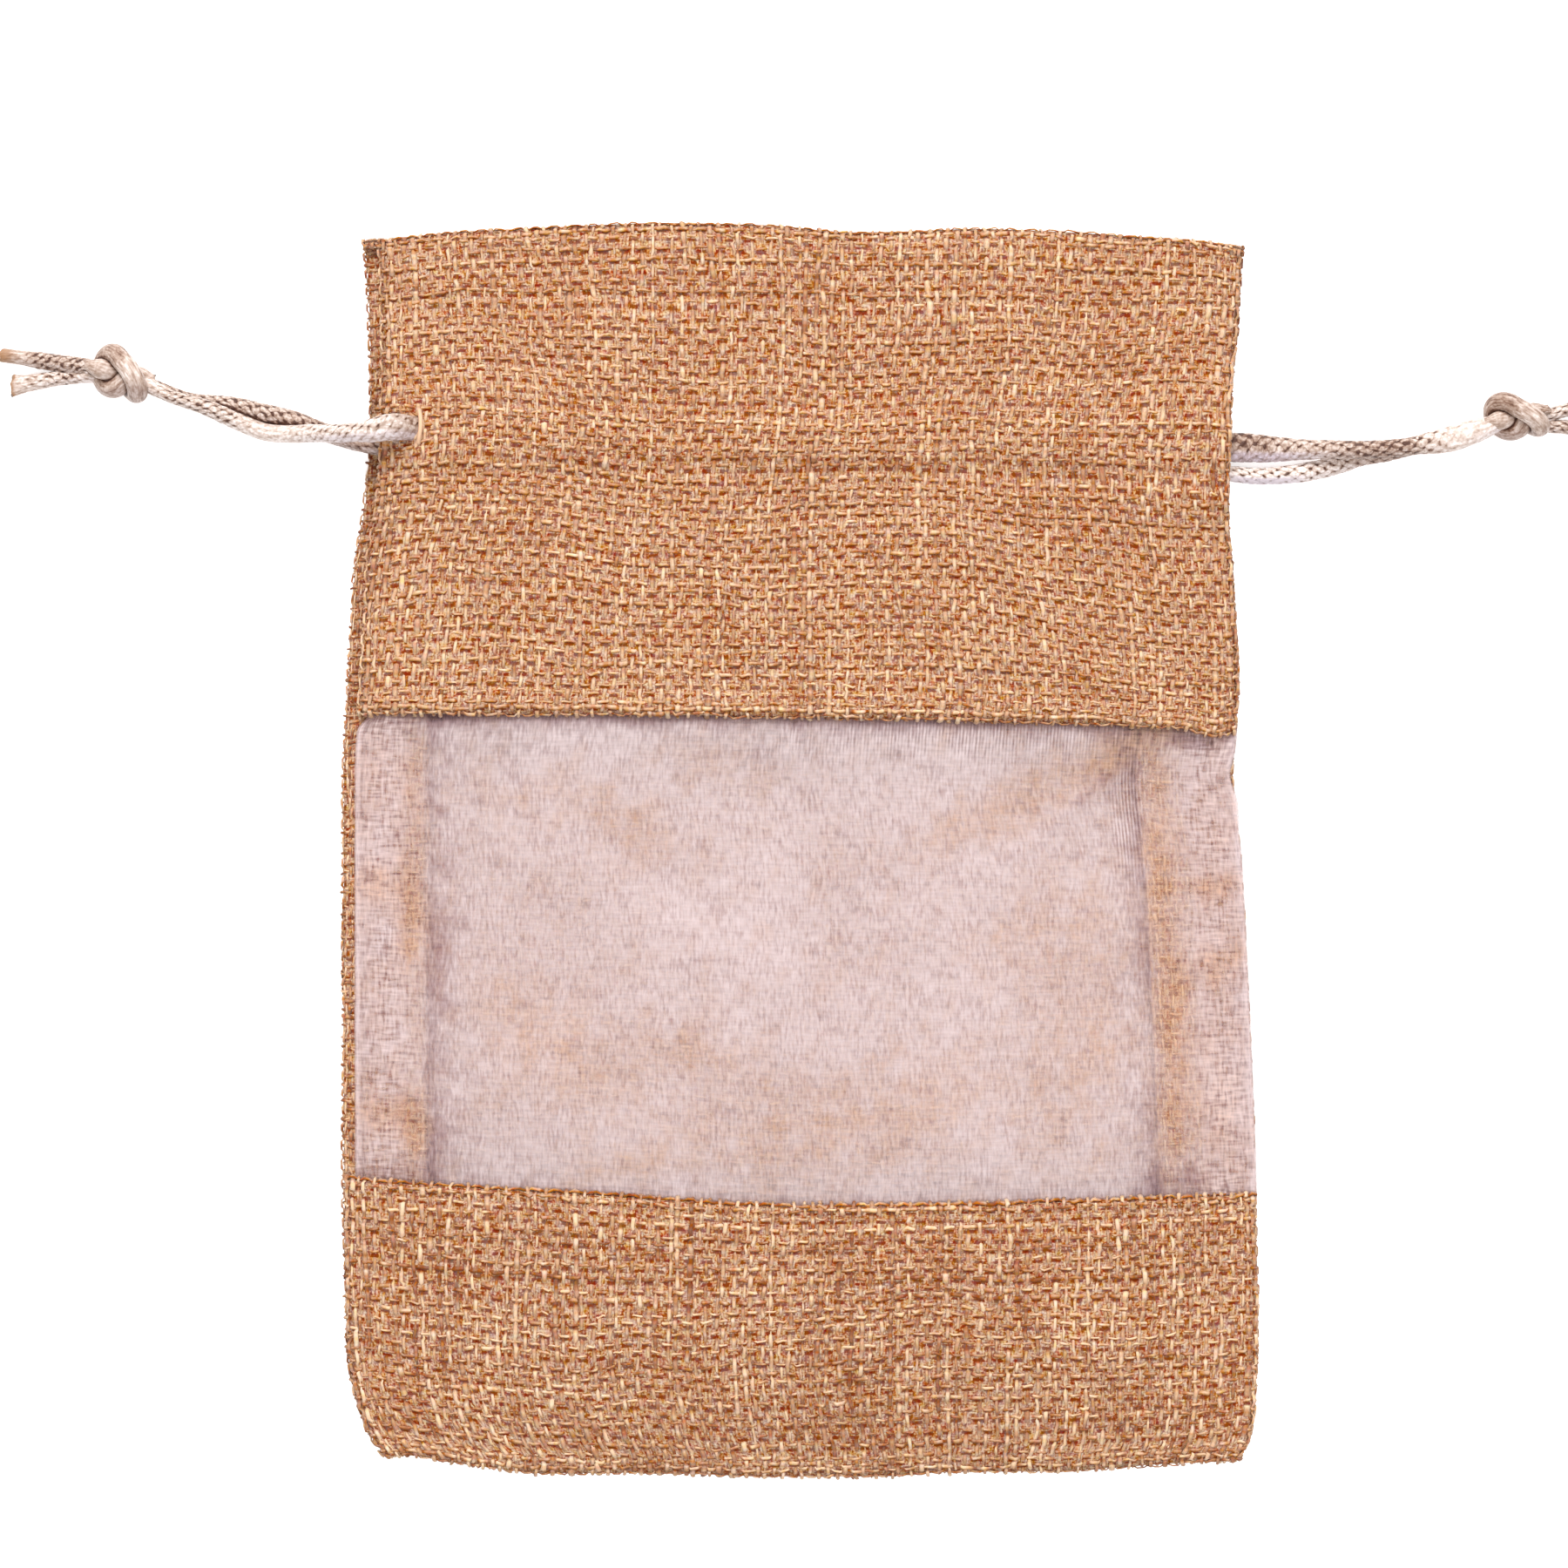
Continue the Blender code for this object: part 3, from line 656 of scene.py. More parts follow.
def push_aside(x, y, hole, part):
    """Parts the yarns round the cord's hole: warps move sideways and wefts move up or down."""
    across, up = x - hole.x, y - hole.y
    if part == "warp":
        return hole.x + parted(across, up, hole.length / 2, hole.width / 2), y
    if part == "weft":
        return x, hole.y + parted(up, across, hole.width / 2, hole.length / 2)
    return x, y


def parted(off, along, half, half_along):
    """Moves what passes off to the side of the hole's middle out past its rim."""
    rim = half * np.sqrt(np.clip(1 - (along / half_along) ** 2, 0, 1))
    moved = np.where(off < 0, -1, 1) * (rim + np.abs(off) * (HOLE_PUSH - rim) / HOLE_PUSH)
    return np.where(np.abs(off) < HOLE_PUSH, moved, off)


def cloth_frame(cloth, across, along, part):
    """Points of the cloth with its directions across, along and outward."""
    step = 0.05
    here = cloth_points(cloth, across, along, part)
    right = cloth_points(cloth, across + step, along, part) - cloth_points(cloth, across - step, along, part)
    ahead = cloth_points(cloth, across, along + step, part) - cloth_points(cloth, across, along - step, part)
    return here, unit(right), unit(ahead), unit(np.cross(right, ahead))


def swing(at):
    """Whether a yarn is up or down, 1 or -1, at stops counted in crossings."""
    return np.sign(np.sin(math.pi * at))


def uneven(rng, count, steps, spacing, kind):
    """Random values at each stop of count yarns, varying as kind says."""
    by_yarn = kind.yarn * rng.normal(size=(count, 1)) if kind.yarn else 0.0
    drift = kind.drift * noise_along(rng, count, steps, spacing, kind.every)
    return by_yarn + drift + kind.stop * rng.normal(size=(count, steps))


def weave(name, cloth, part, numbers, sides, material, rng):
    """The warps or wefts of a cloth with these numbers, over and under the yarns that cross them."""
    own, own_places, other, other_places = (
        (WARP, cloth.warps, WEFT, cloth.wefts) if part == "warp" else (WEFT, cloth.wefts, WARP, cloth.warps)
    )
    stops, at = crossings(other_places, own.float)
    size = (len(numbers), len(stops), other.pitch / 2)
    where = own_places[numbers][:, None] + uneven(rng, *size, PLACE_UNEVEN)
    length = stops[None, :] + LENGTH_SPREAD * rng.normal(size=size[:2])
    if part == "warp":
        here, _, ahead, out = cloth_frame(cloth, where, length, part)
        side = unit(np.cross(ahead, out))
    else:
        here, right, _, out = cloth_frame(cloth, length, where, part)
        side = unit(np.cross(out, right))
    sign = np.where(numbers % 2 == 0, 1.0, -1.0)[:, None] * (1 if part == "warp" else -1)
    crossing_over = sign * swing(at)[None, :] > 0
    height = np.where(crossing_over, own.over, own.under) + uneven(rng, *size, HEIGHT_UNEVEN)
    thick = 1 + uneven(rng, *size, THICK_UNEVEN)
    slubs = np.maximum(noise_along(rng, *size, SLUBS_EVERY) - SLUBS_FROM, 0.0) * SLUB_SWELL
    wide = own.width / 2 * np.clip(thick + slubs, 0.65, 1.8)
    high = own.height / 2 * np.clip(0.5 + 0.5 * thick, 0.8, 1.2)
    contrast = BOTTOM_CONTRAST if cloth.name == "front_bottom" else 1.0
    tone = contrast * uneven(rng, *size, TONE_UNEVEN) + tone_and_painted_light(here[..., 0], here[..., 1], cloth)
    # Each yarn has its own stretch of the pattern, and one more crossing says which way it starts.
    pattern = PATTERN_SHIFT * rng.integers(0, 50, (len(numbers), 1)) + np.where(sign > 0, 0.0, 1.0)
    centres = here + height[..., None] * out
    return tubes_piece(
        name, centres, side, out, wide, high, sides, material, at[None, :] + pattern, tone, cloth.turn
    )


def tone_and_painted_light(x, y, cloth):
    """How pale the yarns are at a place: darker in soft clouds of tone, with painted shade in the back's
    side seams and along the casing seam's stitched lines, whose stitches come and go, paler at the right rim
    of the cord's hole, and with painted light over the back and the seam allowances, which lie in the
    organza's shade."""
    clouds = 0.4 * soft_waves(x, y, cloth.seed + 5, 20) + 0.4 * soft_waves(x, y, cloth.seed + 6, 7)
    if cloth.name == "front_bottom":
        return 1.5 * clouds - 0.2
    if cloth.name == "front_top":
        seam = y - CASING_SEAM.y - CASING_SEAM.slope * x
        stitches = np.clip(0.9 + 1.3 * soft_waves(x, y, cloth.seed + 7, 3.2), 0.0, 2.0)
        rim = bell(x, CORD_HOLE.x + CORD_HOLE.length / 2 + 0.3, 0.4) * bell(y, CORD_HOLE.y, 1.9)
        # Painted shade along the casing seam and the upper stitched line, whose stitches come and go.
        lines = 2.4 * bell(seam, 0.0, 0.55) + 1.2 * bell(y, UPPER_SEAM_Y, 0.5)
        return clouds + 3.0 * rim - stitches * lines
    if cloth.name == "back":
        # Painted light over the whole back, which lies in the organza's shade, and painted shade in its side
        # seams.
        return clouds + 0.8 - 1.6 * bell(inward_of(x, y), 0.2, 1.6)
    # The seam allowances get painted light, as they lie in the organza's shade.
    return clouds + ALLOWANCE_PAINTED_LIGHT


def span_of(cloth):
    """The lengths across and along that a cloth's ground covers, each from low to high."""
    return [(places[0] - GROUND_PAST, places[-1] + GROUND_PAST) for places in (cloth.warps, cloth.wefts)]


def base_cloth(name, cloths, material):
    """The thin cloth behind the yarns, from a grid over each cloth."""
    points, faces, counts, total = [], [], [], 0
    for cloth in cloths:
        (low_u, high_u), (low_v, high_v) = span_of(cloth)
        columns = max(round((high_u - low_u) / GROUND_SPACING), 4) + 1
        rows = max(round((high_v - low_v) / GROUND_SPACING), 4) + 1
        u, v = np.meshgrid(np.linspace(low_u, high_u, columns), np.linspace(low_v, high_v, rows))
        flat = cloth_points(cloth, u, v, "base").reshape(-1, 3)
        quads = grid_quads(rows, columns)
        if cloth.opening:
            hole = cloth.opening
            across, up = (flat[quads].mean(axis=1)[:, :2] - (hole.x, hole.y)).T
            quads = quads[(2 * across / hole.length) ** 2 + (2 * up / hole.width) ** 2 > GROUND_HOLE]
        points.append(flat)
        faces.append(quads + total)
        counts.append([crossing_count(u, cloth.warps).ravel(), crossing_count(v, cloth.wefts).ravel()])
        total += len(flat)
    piece = new_piece(name, np.concatenate(points), [np.concatenate(faces)], material)
    give(piece, "weave", *np.concatenate(counts, axis=1), 0.0)
    return piece


def crossing_count(at, places):
    """How many yarns lie before each place, where the middle of a yarn counts as a half."""
    return np.interp(at, places, np.arange(len(places)) + 0.5)


def panel_place(low_edge, high_edge, inset, trim):
    """Gives plan positions of a panel from shares across and along it, trimmed by trim all round."""

    def place(u, v):
        nominal = SIDES[-1].left + u * (SIDES[-1].right - SIDES[-1].left)
        low = edge_y(low_edge, nominal) + trim
        high = edge_y(high_edge, nominal) - trim
        y = low + v * (high - low)
        left = side_left(y) + inset.left + trim
        right = side_right(y) - inset.right - trim
        return left + u * (right - left), y

    return place


def top_place(trim):
    """Plan positions of the top panel, whose hem sags in a small lump near its right end."""
    flat_place = panel_place(WINDOW_TOP, MOUTH_SHOWS, TOP_INSET, trim)

    def place(u, v):
        x, y = flat_place(u, v)
        sag = HEM_LUMP.drop * bell(x, HEM_LUMP.x, HEM_LUMP.spread) * np.exp(-np.maximum(v, 0.0) * 18)
        return x + SEAM_SHOWS * np.clip(1 - u / 0.3, 0.0, 1.0), y - sag

    return place


def top_middle(x, y):
    """The height of the top panel's middle surface: a full hem below, and two stitched lines."""
    return (
        front_underside(x, y)
        + LINEN_THICKNESS - CLOTH_HALF
        + 0.3 * bell(y - edge_y(WINDOW_TOP, x), 1.2, 1.1)
        - 0.18 * bell(y, UPPER_SEAM_Y, 0.8)
        - 0.28 * bell(y, LOWER_GROOVE_Y, 0.9)
        + 0.12 * soft_waves(x, y, 5, 13)
    )


def bottom_middle(x, y):
    """The height of the bottom panel's middle surface: a full hem with a line stitched below it."""
    below_hem = edge_y(WINDOW_BOTTOM, x) - y
    return (
        front_underside(x, y)
        + LINEN_THICKNESS - CLOTH_HALF
        + 0.2 * bell(below_hem, 0.8, 0.8)
        - 0.2 * bell(below_hem, 1.9, 0.5)
        + 0.12 * soft_waves(x, y, 6, 13)
    )


def back_middle(x, y):
    return BACK_THICKNESS / 2 + 0.03 * soft_waves(x, y, 7, 20)


def allowance_place(side):
    """Plan positions of a seam allowance turned in over the back, side -1 at the left and 1 at the right."""

    def place(u, v):
        y = ALLOWANCE_LOWEST + v * (ALLOWANCE_HIGHEST - ALLOWANCE_LOWEST)
        if side < 0:
            return side_left(y) + SEAM_ALLOWANCE * u, y
        return side_right(y) - RIGHT_ALLOWANCE * (1 - u), y

    return place


def allowance_middle(x, y):
    """A seam allowance lies on the back and lifts a little towards its cut edge."""
    lift = 0.35 * np.clip(inward_of(x, y) / SEAM_ALLOWANCE, 0, 1) ** 3
    return BACK_THICKNESS + 0.5 + lift + 0.1 * soft_waves(x, y, 9, 16)


def linen_cloth(
    name, width, length, place, middle, roll, turn, seed, opening=None, hem_return=0.0,
    side_return=0.0, cut=False,
):
    """A cloth with the places of its yarns, its edges folded over by roll unless they are cut."""
    past = 0.0 if cut else math.pi * roll
    sides = past + side_return
    warps = yarn_places(
        FIRST_YARN - sides, width + sides, WARP.pitch, UNFOLDED if cut else width, seed + 8
    )
    wefts = yarn_places(
        FIRST_YARN - past, length + past + hem_return, WEFT.pitch, UNFOLDED if cut else length, seed + 9
    )
    return Cloth(name, width, length, place, middle, roll, turn, seed, opening, warps, wefts)


def make_cloths():
    """The linen cloths, keyed by panel, and the two seam allowances."""
    front_trim = HEM_ROLL - PAST_OUTLINE
    bottom = panel_place(BOTTOM_SHOWS, WINDOW_BOTTOM, BOTTOM_INSET, front_trim)
    back = panel_place(BOTTOM_SHOWS, MOUTH_SHOWS, BACK_INSET, EDGE_ROLL - PAST_OUTLINE)
    cloths = [
        linen_cloth(
            "front_top", width=97.2, length=53.2, place=top_place(front_trim), middle=top_middle,
            roll=HEM_ROLL, turn=1, seed=20, opening=CORD_HOLE, hem_return=HEM_RETURN,
        ),
        linen_cloth(
            "front_bottom", width=100.4, length=28.8, place=bottom, middle=bottom_middle,
            roll=HEM_ROLL, turn=1, seed=30,
        ),
        linen_cloth(
            "back", width=99.0, length=138.0, place=back, middle=back_middle,
            roll=EDGE_ROLL, turn=-1, seed=40, side_return=SIDE_RETURN,
        ),
    ]
    for name, width, side, seed in (("left", SEAM_ALLOWANCE, -1, 50), ("right", RIGHT_ALLOWANCE, 1, 60)):
        cloths.append(linen_cloth(
            "allowance_" + name, width=width, length=ALLOWANCE_HIGHEST - ALLOWANCE_LOWEST,
            place=allowance_place(side), middle=allowance_middle, roll=CUT_ROLL, turn=1, seed=seed, cut=True,
        ))
    return {cloth.name: cloth for cloth in cloths}


# Materials

YARN_STOPS = (
    (0.0, (134, 79, 48)),
    (0.3, (166, 111, 77)),
    (0.6, (192, 150, 116)),
    (0.95, (228, 194, 160)),
)
GROUND_STOPS = (
    (0.0, (121, 63, 38)),
    (0.28, (152, 97, 67)),
    (0.55, (176, 134, 104)),
    (0.9, (202, 172, 140)),
)
# The organza's pale threads, darkening to the violet-greys of its painted shade.
ORGANZA_STOPS = (
    (0.0, (233, 215, 216)),
    (0.5, (180, 152, 156)),
    (1.0, (112, 84, 94)),
)
LINEN_GLOW = (236, 196, 172)  # the organza's colour where it lies on the linen
# The satin's colours by value, from the painted shade of its pits and crevices to its palest, painted sheen.
SATIN_STOPS = (
    (0.0, (80, 46, 32)),
    (0.22, (128, 96, 78)),
    (0.5, (174, 149, 134)),
    (0.8, (212, 194, 184)),
    (1.0, (236, 224, 218)),
)
SCORCHED = (158, 116, 82)
SATIN_SHADE = (220, 216, 236)


class Wire:
    """What a shader node puts out, where arithmetic adds the Math nodes for it."""

    def __init__(self, socket):
        self.socket = socket
        self.tree = socket.id_data

    def __add__(self, other):
        return maths(self.tree, "ADD", self, other)

    def __sub__(self, other):
        return maths(self.tree, "SUBTRACT", self, other)

    def __rsub__(self, other):
        return maths(self.tree, "SUBTRACT", other, self)

    def __mul__(self, other):
        return maths(self.tree, "MULTIPLY", self, other)

    def __abs__(self):
        return maths(self.tree, "ABSOLUTE", self)


def feed(socket, value):
    """Sets an input to a value, or links it to what a node puts out."""
    if isinstance(value, Wire):
        value.tree.links.new(value.socket, socket)
    else:
        socket.default_value = value


def maths(tree, operation, *values):
    made = tree.nodes.new("ShaderNodeMath")
    made.operation = operation
    for socket, value in zip(made.inputs, values):
        feed(socket, value)
    return Wire(made.outputs[0])


def sine(value):
    return maths(value.tree, "SINE", value)


def clamped(value):
    """A value held between 0 and 1."""
    return maths(value.tree, "MINIMUM", maths(value.tree, "MAXIMUM", value, 0.0), 1.0)


def node(tree, kind, **inputs):
    """A shader node with some of its inputs fed."""
    made = tree.nodes.new(kind)
    for name, value in inputs.items():
        feed(made.inputs[name.replace("_", " ")], value)
    return made


def attribute(tree, name, output="Fac"):
    made = tree.nodes.new("ShaderNodeAttribute")
    made.attribute_name = name
    return Wire(made.outputs[output])


def three_of(tree, name):
    """The three numbers of an attribute that is a vector."""
    parts = node(tree, "ShaderNodeSeparateXYZ", Vector=attribute(tree, name, "Vector"))
    return [Wire(socket) for socket in parts.outputs]


def vector(x, y, z=0.0):
    return Wire(node(x.tree, "ShaderNodeCombineXYZ", X=x, Y=y, Z=z).outputs[0])


def noise(place, scale, detail):
    """Noise from about -0.5 to 0.5."""
    made = node(place.tree, "ShaderNodeTexNoise", Vector=place, Scale=scale, Detail=detail)
    return Wire(made.outputs["Fac"]) - 0.5


def linear(colour):
    """Linear values of an sRGB colour from 0 to 255, opaque."""
    shares = [value / 255 for value in colour]
    return (*(s / 12.92 if s <= 0.04045 else ((s + 0.055) / 1.055) ** 2.4 for s in shares), 1.0)


def ramp(value, stops):
    """A colour ramp from stops of (place, sRGB colour from 0 to 255)."""
    made = node(value.tree, "ShaderNodeValToRGB", Fac=value)
    elements = made.color_ramp.elements
    while len(elements) < len(stops):
        elements.new(0.5)
    for element, (place, colour) in zip(elements, stops):
        element.position = place
        element.color = linear(colour)
    return Wire(made.outputs["Color"])


def mixed(share, first, second, blend="MIX"):
    """A colour with share of a second, sRGB one mixed into it."""
    made = node(share.tree, "ShaderNodeMixRGB", Fac=share, Color1=first, Color2=linear(second))
    made.blend_type = blend
    return Wire(made.outputs[0])


def tinted(colour, place, painted_shade_saturation=0.0):
    """A colour whose hue and strength drift a little, as spun flax does, and that is more saturated where
    painted shade falls on a weft's lower side.
    """
    hue = noise(place, 1.4, 2.0) * 0.1 + 0.5
    strength = noise(place, 2.1, 2.0) * 1.5 + 1.0 + painted_shade_saturation
    made = node(colour.tree, "ShaderNodeHueSaturation", Color=colour, Hue=hue, Saturation=strength)
    return Wire(made.outputs[0])


def new_material(name, roughness, specular, sheen=0.0):
    """A material with its node tree and its Principled shader."""
    made = bpy.data.materials.new(name)
    made.use_nodes = True
    shader = made.node_tree.nodes["Principled BSDF"]
    shader.inputs["Roughness"].default_value = roughness
    shader.inputs["Specular IOR Level"].default_value = specular
    shader.inputs["Sheen Weight"].default_value = sheen
    return made, made.node_tree, shader


def raised(shader, height, strength, distance):
    """Fine relief on a shader's surface, its depth in metres."""
    bump = node(height.tree, "ShaderNodeBump", Height=height, Strength=strength, Distance=distance)
    feed(shader.inputs["Normal"], Wire(bump.outputs[0]))


def yarn_material(name, is_warp):
    """Spun linen yarn: cream on some floats, tan or orange on others, with painted shade where it dives
    under the yarns across it, a painted highlight on its faces out of the cloth, and on a weft a painted
    paler upper side and a darker, more saturated lower side.
    """
    made, tree, shader = new_material(name, roughness=0.85, specular=0.1, sheen=0.15)
    along, cos, sin = three_of(tree, "yarn")
    turn = along * math.pi
    lift = sine(turn)
    depth = clamped(noise(vector(along, 7.0), 0.9, 1.0) * 4.5 + 0.6)
    if is_warp:
        # Painted shade where the warp dives under the weft across it, as in the shadow of that weft.
        falling = clamped(maths(tree, "COSINE", turn) * -4.0 + 0.3)
        dip = falling * clamped(lift * -1.7 + 0.55)
        hollow_shade = maths(tree, "MAXIMUM", dip, clamped(lift * -0.7 - 0.05))
        value = hollow_shade * depth * -0.7 + 0.6
        painted_shade_saturation = 0.0
    else:
        # Painted shade where the weft dives under a warp. Its upper side is painted paler, and its lower
        # side darker and more saturated, as light from above falls on it.
        hollow_shade = clamped(lift * -1.4 + 0.35)
        value = hollow_shade * depth * -0.65 + 0.52 + cos * 0.08
        painted_shade_saturation = clamped(cos * -0.45)
    patches = vector(along * 0.8, 0.0)
    streaks = noise(vector(along * 1.3, cos, sin), 2.4, 3.0)
    # A painted highlight on the faces of the yarn that look out of the cloth, brighter than its flanks, and
    # then its tone.
    value = value + abs(sin) * 0.08 + attribute(tree, "tone") * 0.085
    value = value + streaks * 0.6 + noise(patches, 1.0, 2.0) * 1.3
    feed(shader.inputs["Base Color"], tinted(ramp(value, YARN_STOPS), patches, painted_shade_saturation))
    raised(shader, streaks, 0.5, 0.00008)
    return made


def base_material():
    """The under-fibres seen between the yarns: matted flax, with a painted shadow in a dash below each
    weft's float.
    """
    made, tree, shader = new_material("linen_ground", roughness=0.9, specular=0.1)
    a, b, _ = three_of(tree, "weave")
    upright = noise(vector(a * 4.0, b), 1.0, 3.0)
    level = noise(vector(a, b * 4.0), 1.3, 3.0)
    specks = noise(vector(a, b, 3.0), 5.0, 2.0)
    patches = noise(vector(a, b, 7.0), 0.6, 2.0)
    # A painted shadow in a dash just below each weft's float.
    weft_shadow_zone = clamped(sine(a * math.pi) * sine(b * math.pi) * -6.0 + 0.4)
    below = abs(maths(tree, "FRACT", b) - 0.15)
    dash_shadow = weft_shadow_zone * clamped(below * -9.0 + 1.8)
    value = upright * 2.2 + 0.48 + level * 1.3 + specks * 1.7 + patches * 0.5 - dash_shadow * 0.85
    feed(shader.inputs["Base Color"], tinted(ramp(value, GROUND_STOPS), vector(a, b, 5.0)))
    return made


def organza_material():
    """Sheer organza: fine pale threads with gaps, denser where it is lifted off the linen."""
    made, tree, shader = new_material("sheer_organza", roughness=0.5, specular=0.3)
    across, along, doubled = three_of(tree, "cloth")
    contact, shade, pleated = three_of(tree, "lie")
    warm = attribute(tree, "warm")
    threads = noise(vector(across * 3.4, along * 0.7), 1.0, 2.0)
    crosswise = noise(vector(across * 0.4, along * 3.2), 1.0, 2.0)
    clouds = noise(vector(across * 0.05, along * 0.05), 1.0, 3.0)
    # What shows of the linen's yarns behind it, where the organza is doubled or lies close.
    behind = noise(vector(across * 2.5, along * 0.5, 4.0), 1.0, 1.0)
    behind = behind + noise(vector(across * 0.5, along * 2.5, 6.0), 1.0, 1.0)
    grid = behind * doubled
    woven = behind * warm
    pleats = sine(across * (2 * math.pi / PLEAT_WIDTH)) * pleated
    cover = threads * 0.6 + 0.76 + crosswise * 0.35 + clouds * 0.5 - contact * 0.42
    cover = cover + grid * 0.9 + pleats * 0.2
    # How dark the organza is painted: its painted shade, varied by its threads, pleats and the linen behind
    # it.
    dark = shade - pleats * 0.3 - threads * 0.7 - grid * 0.9 - woven * 1.6
    colour = mixed(clamped(woven * 2.2 + warm), ramp(clamped(dark), ORGANZA_STOPS), LINEN_GLOW)
    feed(shader.inputs["Base Color"], colour)
    through = node(tree, "ShaderNodeBsdfTranslucent", Color=colour)
    cloth_light = node(tree, "ShaderNodeMixShader", Fac=0.35)
    clear = node(tree, "ShaderNodeBsdfTransparent")
    both = node(tree, "ShaderNodeMixShader", Fac=clamped(cover))
    output = tree.nodes["Material Output"]
    for source, socket in (
        (shader, cloth_light.inputs[1]), (through, cloth_light.inputs[2]), (clear, both.inputs[1]),
        (cloth_light, both.inputs[2]), (both, output.inputs["Surface"]),
    ):
        tree.links.new(source.outputs[0], socket)
    return made


def satin_material():
    """Braided satin: a painted highlight on the ridges of its strands, painted shade in the pits between
    them and in the crevices where strands touch, its paleness along the cord painted for sheen and shade,
    and scorched brown at the cut ends.
    """
    made, tree, shader = new_material("satin_braid", roughness=0.45, specular=0.4, sheen=0.1)
    frayed, tone, shade = three_of(tree, "satin")
    s, cos, sin = three_of(tree, "strand")
    lean, pits, crevice_shade = three_of(tree, "lay")
    around = vector(s, cos * 1.1, sin * 1.1)
    turn = maths(tree, "ARCTAN2", sin, cos) * (BRAID_STRANDS / 2)
    turn = turn + s * lean * 0.5 + noise(around, 1.3, 1.0) * 2.6
    travel = s * (math.pi / BRAID_PITCH) + noise(around, 0.9, 1.0) * 2.2
    one = sine(turn + travel)
    other = sine(turn - travel)
    over = maths(tree, "GREATER_THAN", one * other, 0.0)
    ridge = over * abs(one) + (1.0 - over) * abs(other)
    pit = maths(tree, "POWER", (1.0 - one * one) * (1.0 - other * other), 2.5)
    # Fibre streaks, strongest where the cord is smooth, where they also serve as painted satin sheen.
    streaks = noise(vector(s * 0.6, cos * 2.6, sin * 2.6), 1.5, 3.0)
    flecks = noise(around, 3.0, 3.0)
    # A painted highlight on the strands' ridges and painted shade in the pits between them; the same pattern
    # gives their bump.
    braid_relief_and_shade = (ridge * 0.6 - 0.34 - pit * 1.1) * clamped(flecks * 3.0 + 0.8)
    # The tone carries painted sheen and shade along the cord, and the crevices where strands touch get
    # painted shade.
    value = tone * 0.62 + 0.18 + braid_relief_and_shade * (pits * (1.0 - shade * 0.7)) - crevice_shade * 0.75
    value = value + streaks * (1.3 - pits * 0.7) + flecks * 0.8
    burnt = mixed(frayed, ramp(value, SATIN_STOPS), SCORCHED)
    feed(shader.inputs["Base Color"], mixed(shade, burnt, SATIN_SHADE, "MULTIPLY"))
    raised(shader, streaks * 0.6 + braid_relief_and_shade * pits, 0.7, 0.00015)
    return made


# Cords


def spline(route, spacing):
    """Points at even steps along a smooth curve through the route, and the curve's length."""
    points = np.array(route)
    ends = np.vstack([2 * points[0] - points[1], points, 2 * points[-1] - points[-2]])
    fine = []
    for i in range(len(points) - 1):
        a, b, c, d = ends[i : i + 4]
        for t in np.linspace(0.0, 1.0, 12, endpoint=False):
            fine.append(
                0.5 * (2 * b + (c - a) * t + (2 * a - 5 * b + 4 * c - d) * t**2
                       + (3 * b - a - 3 * c + d) * t**3)
            )
    fine = np.array([*fine, points[-1]])
    along = reached(fine)
    stops = np.linspace(0.0, along[-1], max(round(along[-1] / spacing), 3) + 1)
    return points_at(stops, along, fine), along[-1]


def carried_frames(points):
    """The directions ahead and to the side at each point of a path, carried along it without twisting."""
    ahead = unit(np.gradient(points, axis=0))
    side = np.zeros_like(points)
    current = np.cross([0.0, 0.0, 1.0], ahead[0])
    for i, direction in enumerate(ahead):
        current = current - direction * (current @ direction)
        current = current / np.linalg.norm(current)
        side[i] = current
    return ahead, side


# What a strand may touch: a path, how many steps away along it the touching starts, its radius, and how far
# off the painted shade in the crevices between them starts, as a share of that radius.
Beside = namedtuple("Beside", "points apart radius reach")
Strand = namedtuple("Strand", "points wide high relief tone shade pits lean frayed slant beside")


def braided_tube(name, nodes, strand, material):
    """A braided cord along its points: two families of ridges that cross each other round the tube."""
    points = strand.points
    ahead, side = carried_frames(points)
    up = np.cross(ahead, side)
    along = reached(points)
    turns = np.arange(CORD_SIDES) * 2 * math.pi / CORD_SIDES
    s, angle = np.meshgrid(along, turns, indexing="ij")
    cos, sin = np.cos(angle), np.sin(angle)
    travel = math.pi * s / BRAID_PITCH
    turn = BRAID_STRANDS / 2 * angle + strand.lean * s / 2
    one, other = np.sin(turn + travel), np.sin(turn - travel)
    ridge = np.abs(np.where(one * other > 0, one, other))
    pits, tone = strand.pits[:, None], strand.tone[:, None]
    relief = strand.relief * pits * (ridge - 0.6)
    cut = np.exp(-(along[-1] - s) / 0.7) * (strand.slant * cos + ragged(angle, strand.slant))
    rings = (
        points[:, None, :]
        + ((strand.wide[:, None] + relief) * cos)[..., None] * side[:, None, :]
        + ((strand.high[:, None] + relief) * sin)[..., None] * up[:, None, :]
        + cut[..., None] * ahead[:, None, :]
    )
    piece = new_piece(name, rings.reshape(-1, 3), tube_faces(1, len(points), CORD_SIDES), material)
    # The side facing -Y is painted with violet-grey shade, and its tone there is raised as painted pale
    # light.
    outward_y = cos * side[:, None, 1] + sin * up[:, None, 1]
    shade = strand.shade[:, None] * np.clip(-3.5 * outward_y - 0.5, 0.0, 1.0)
    give(piece, "satin", strand.frayed[:, None], tone + 0.7 * shade, shade)
    give(piece, "strand", s, cos, sin)
    give(piece, "lay", strand.lean, pits, touching(rings, strand.beside))
    give_strips(piece, 1, len(points), CORD_SIDES)
    dress(piece, "satin_cord", *nodes)
    return piece


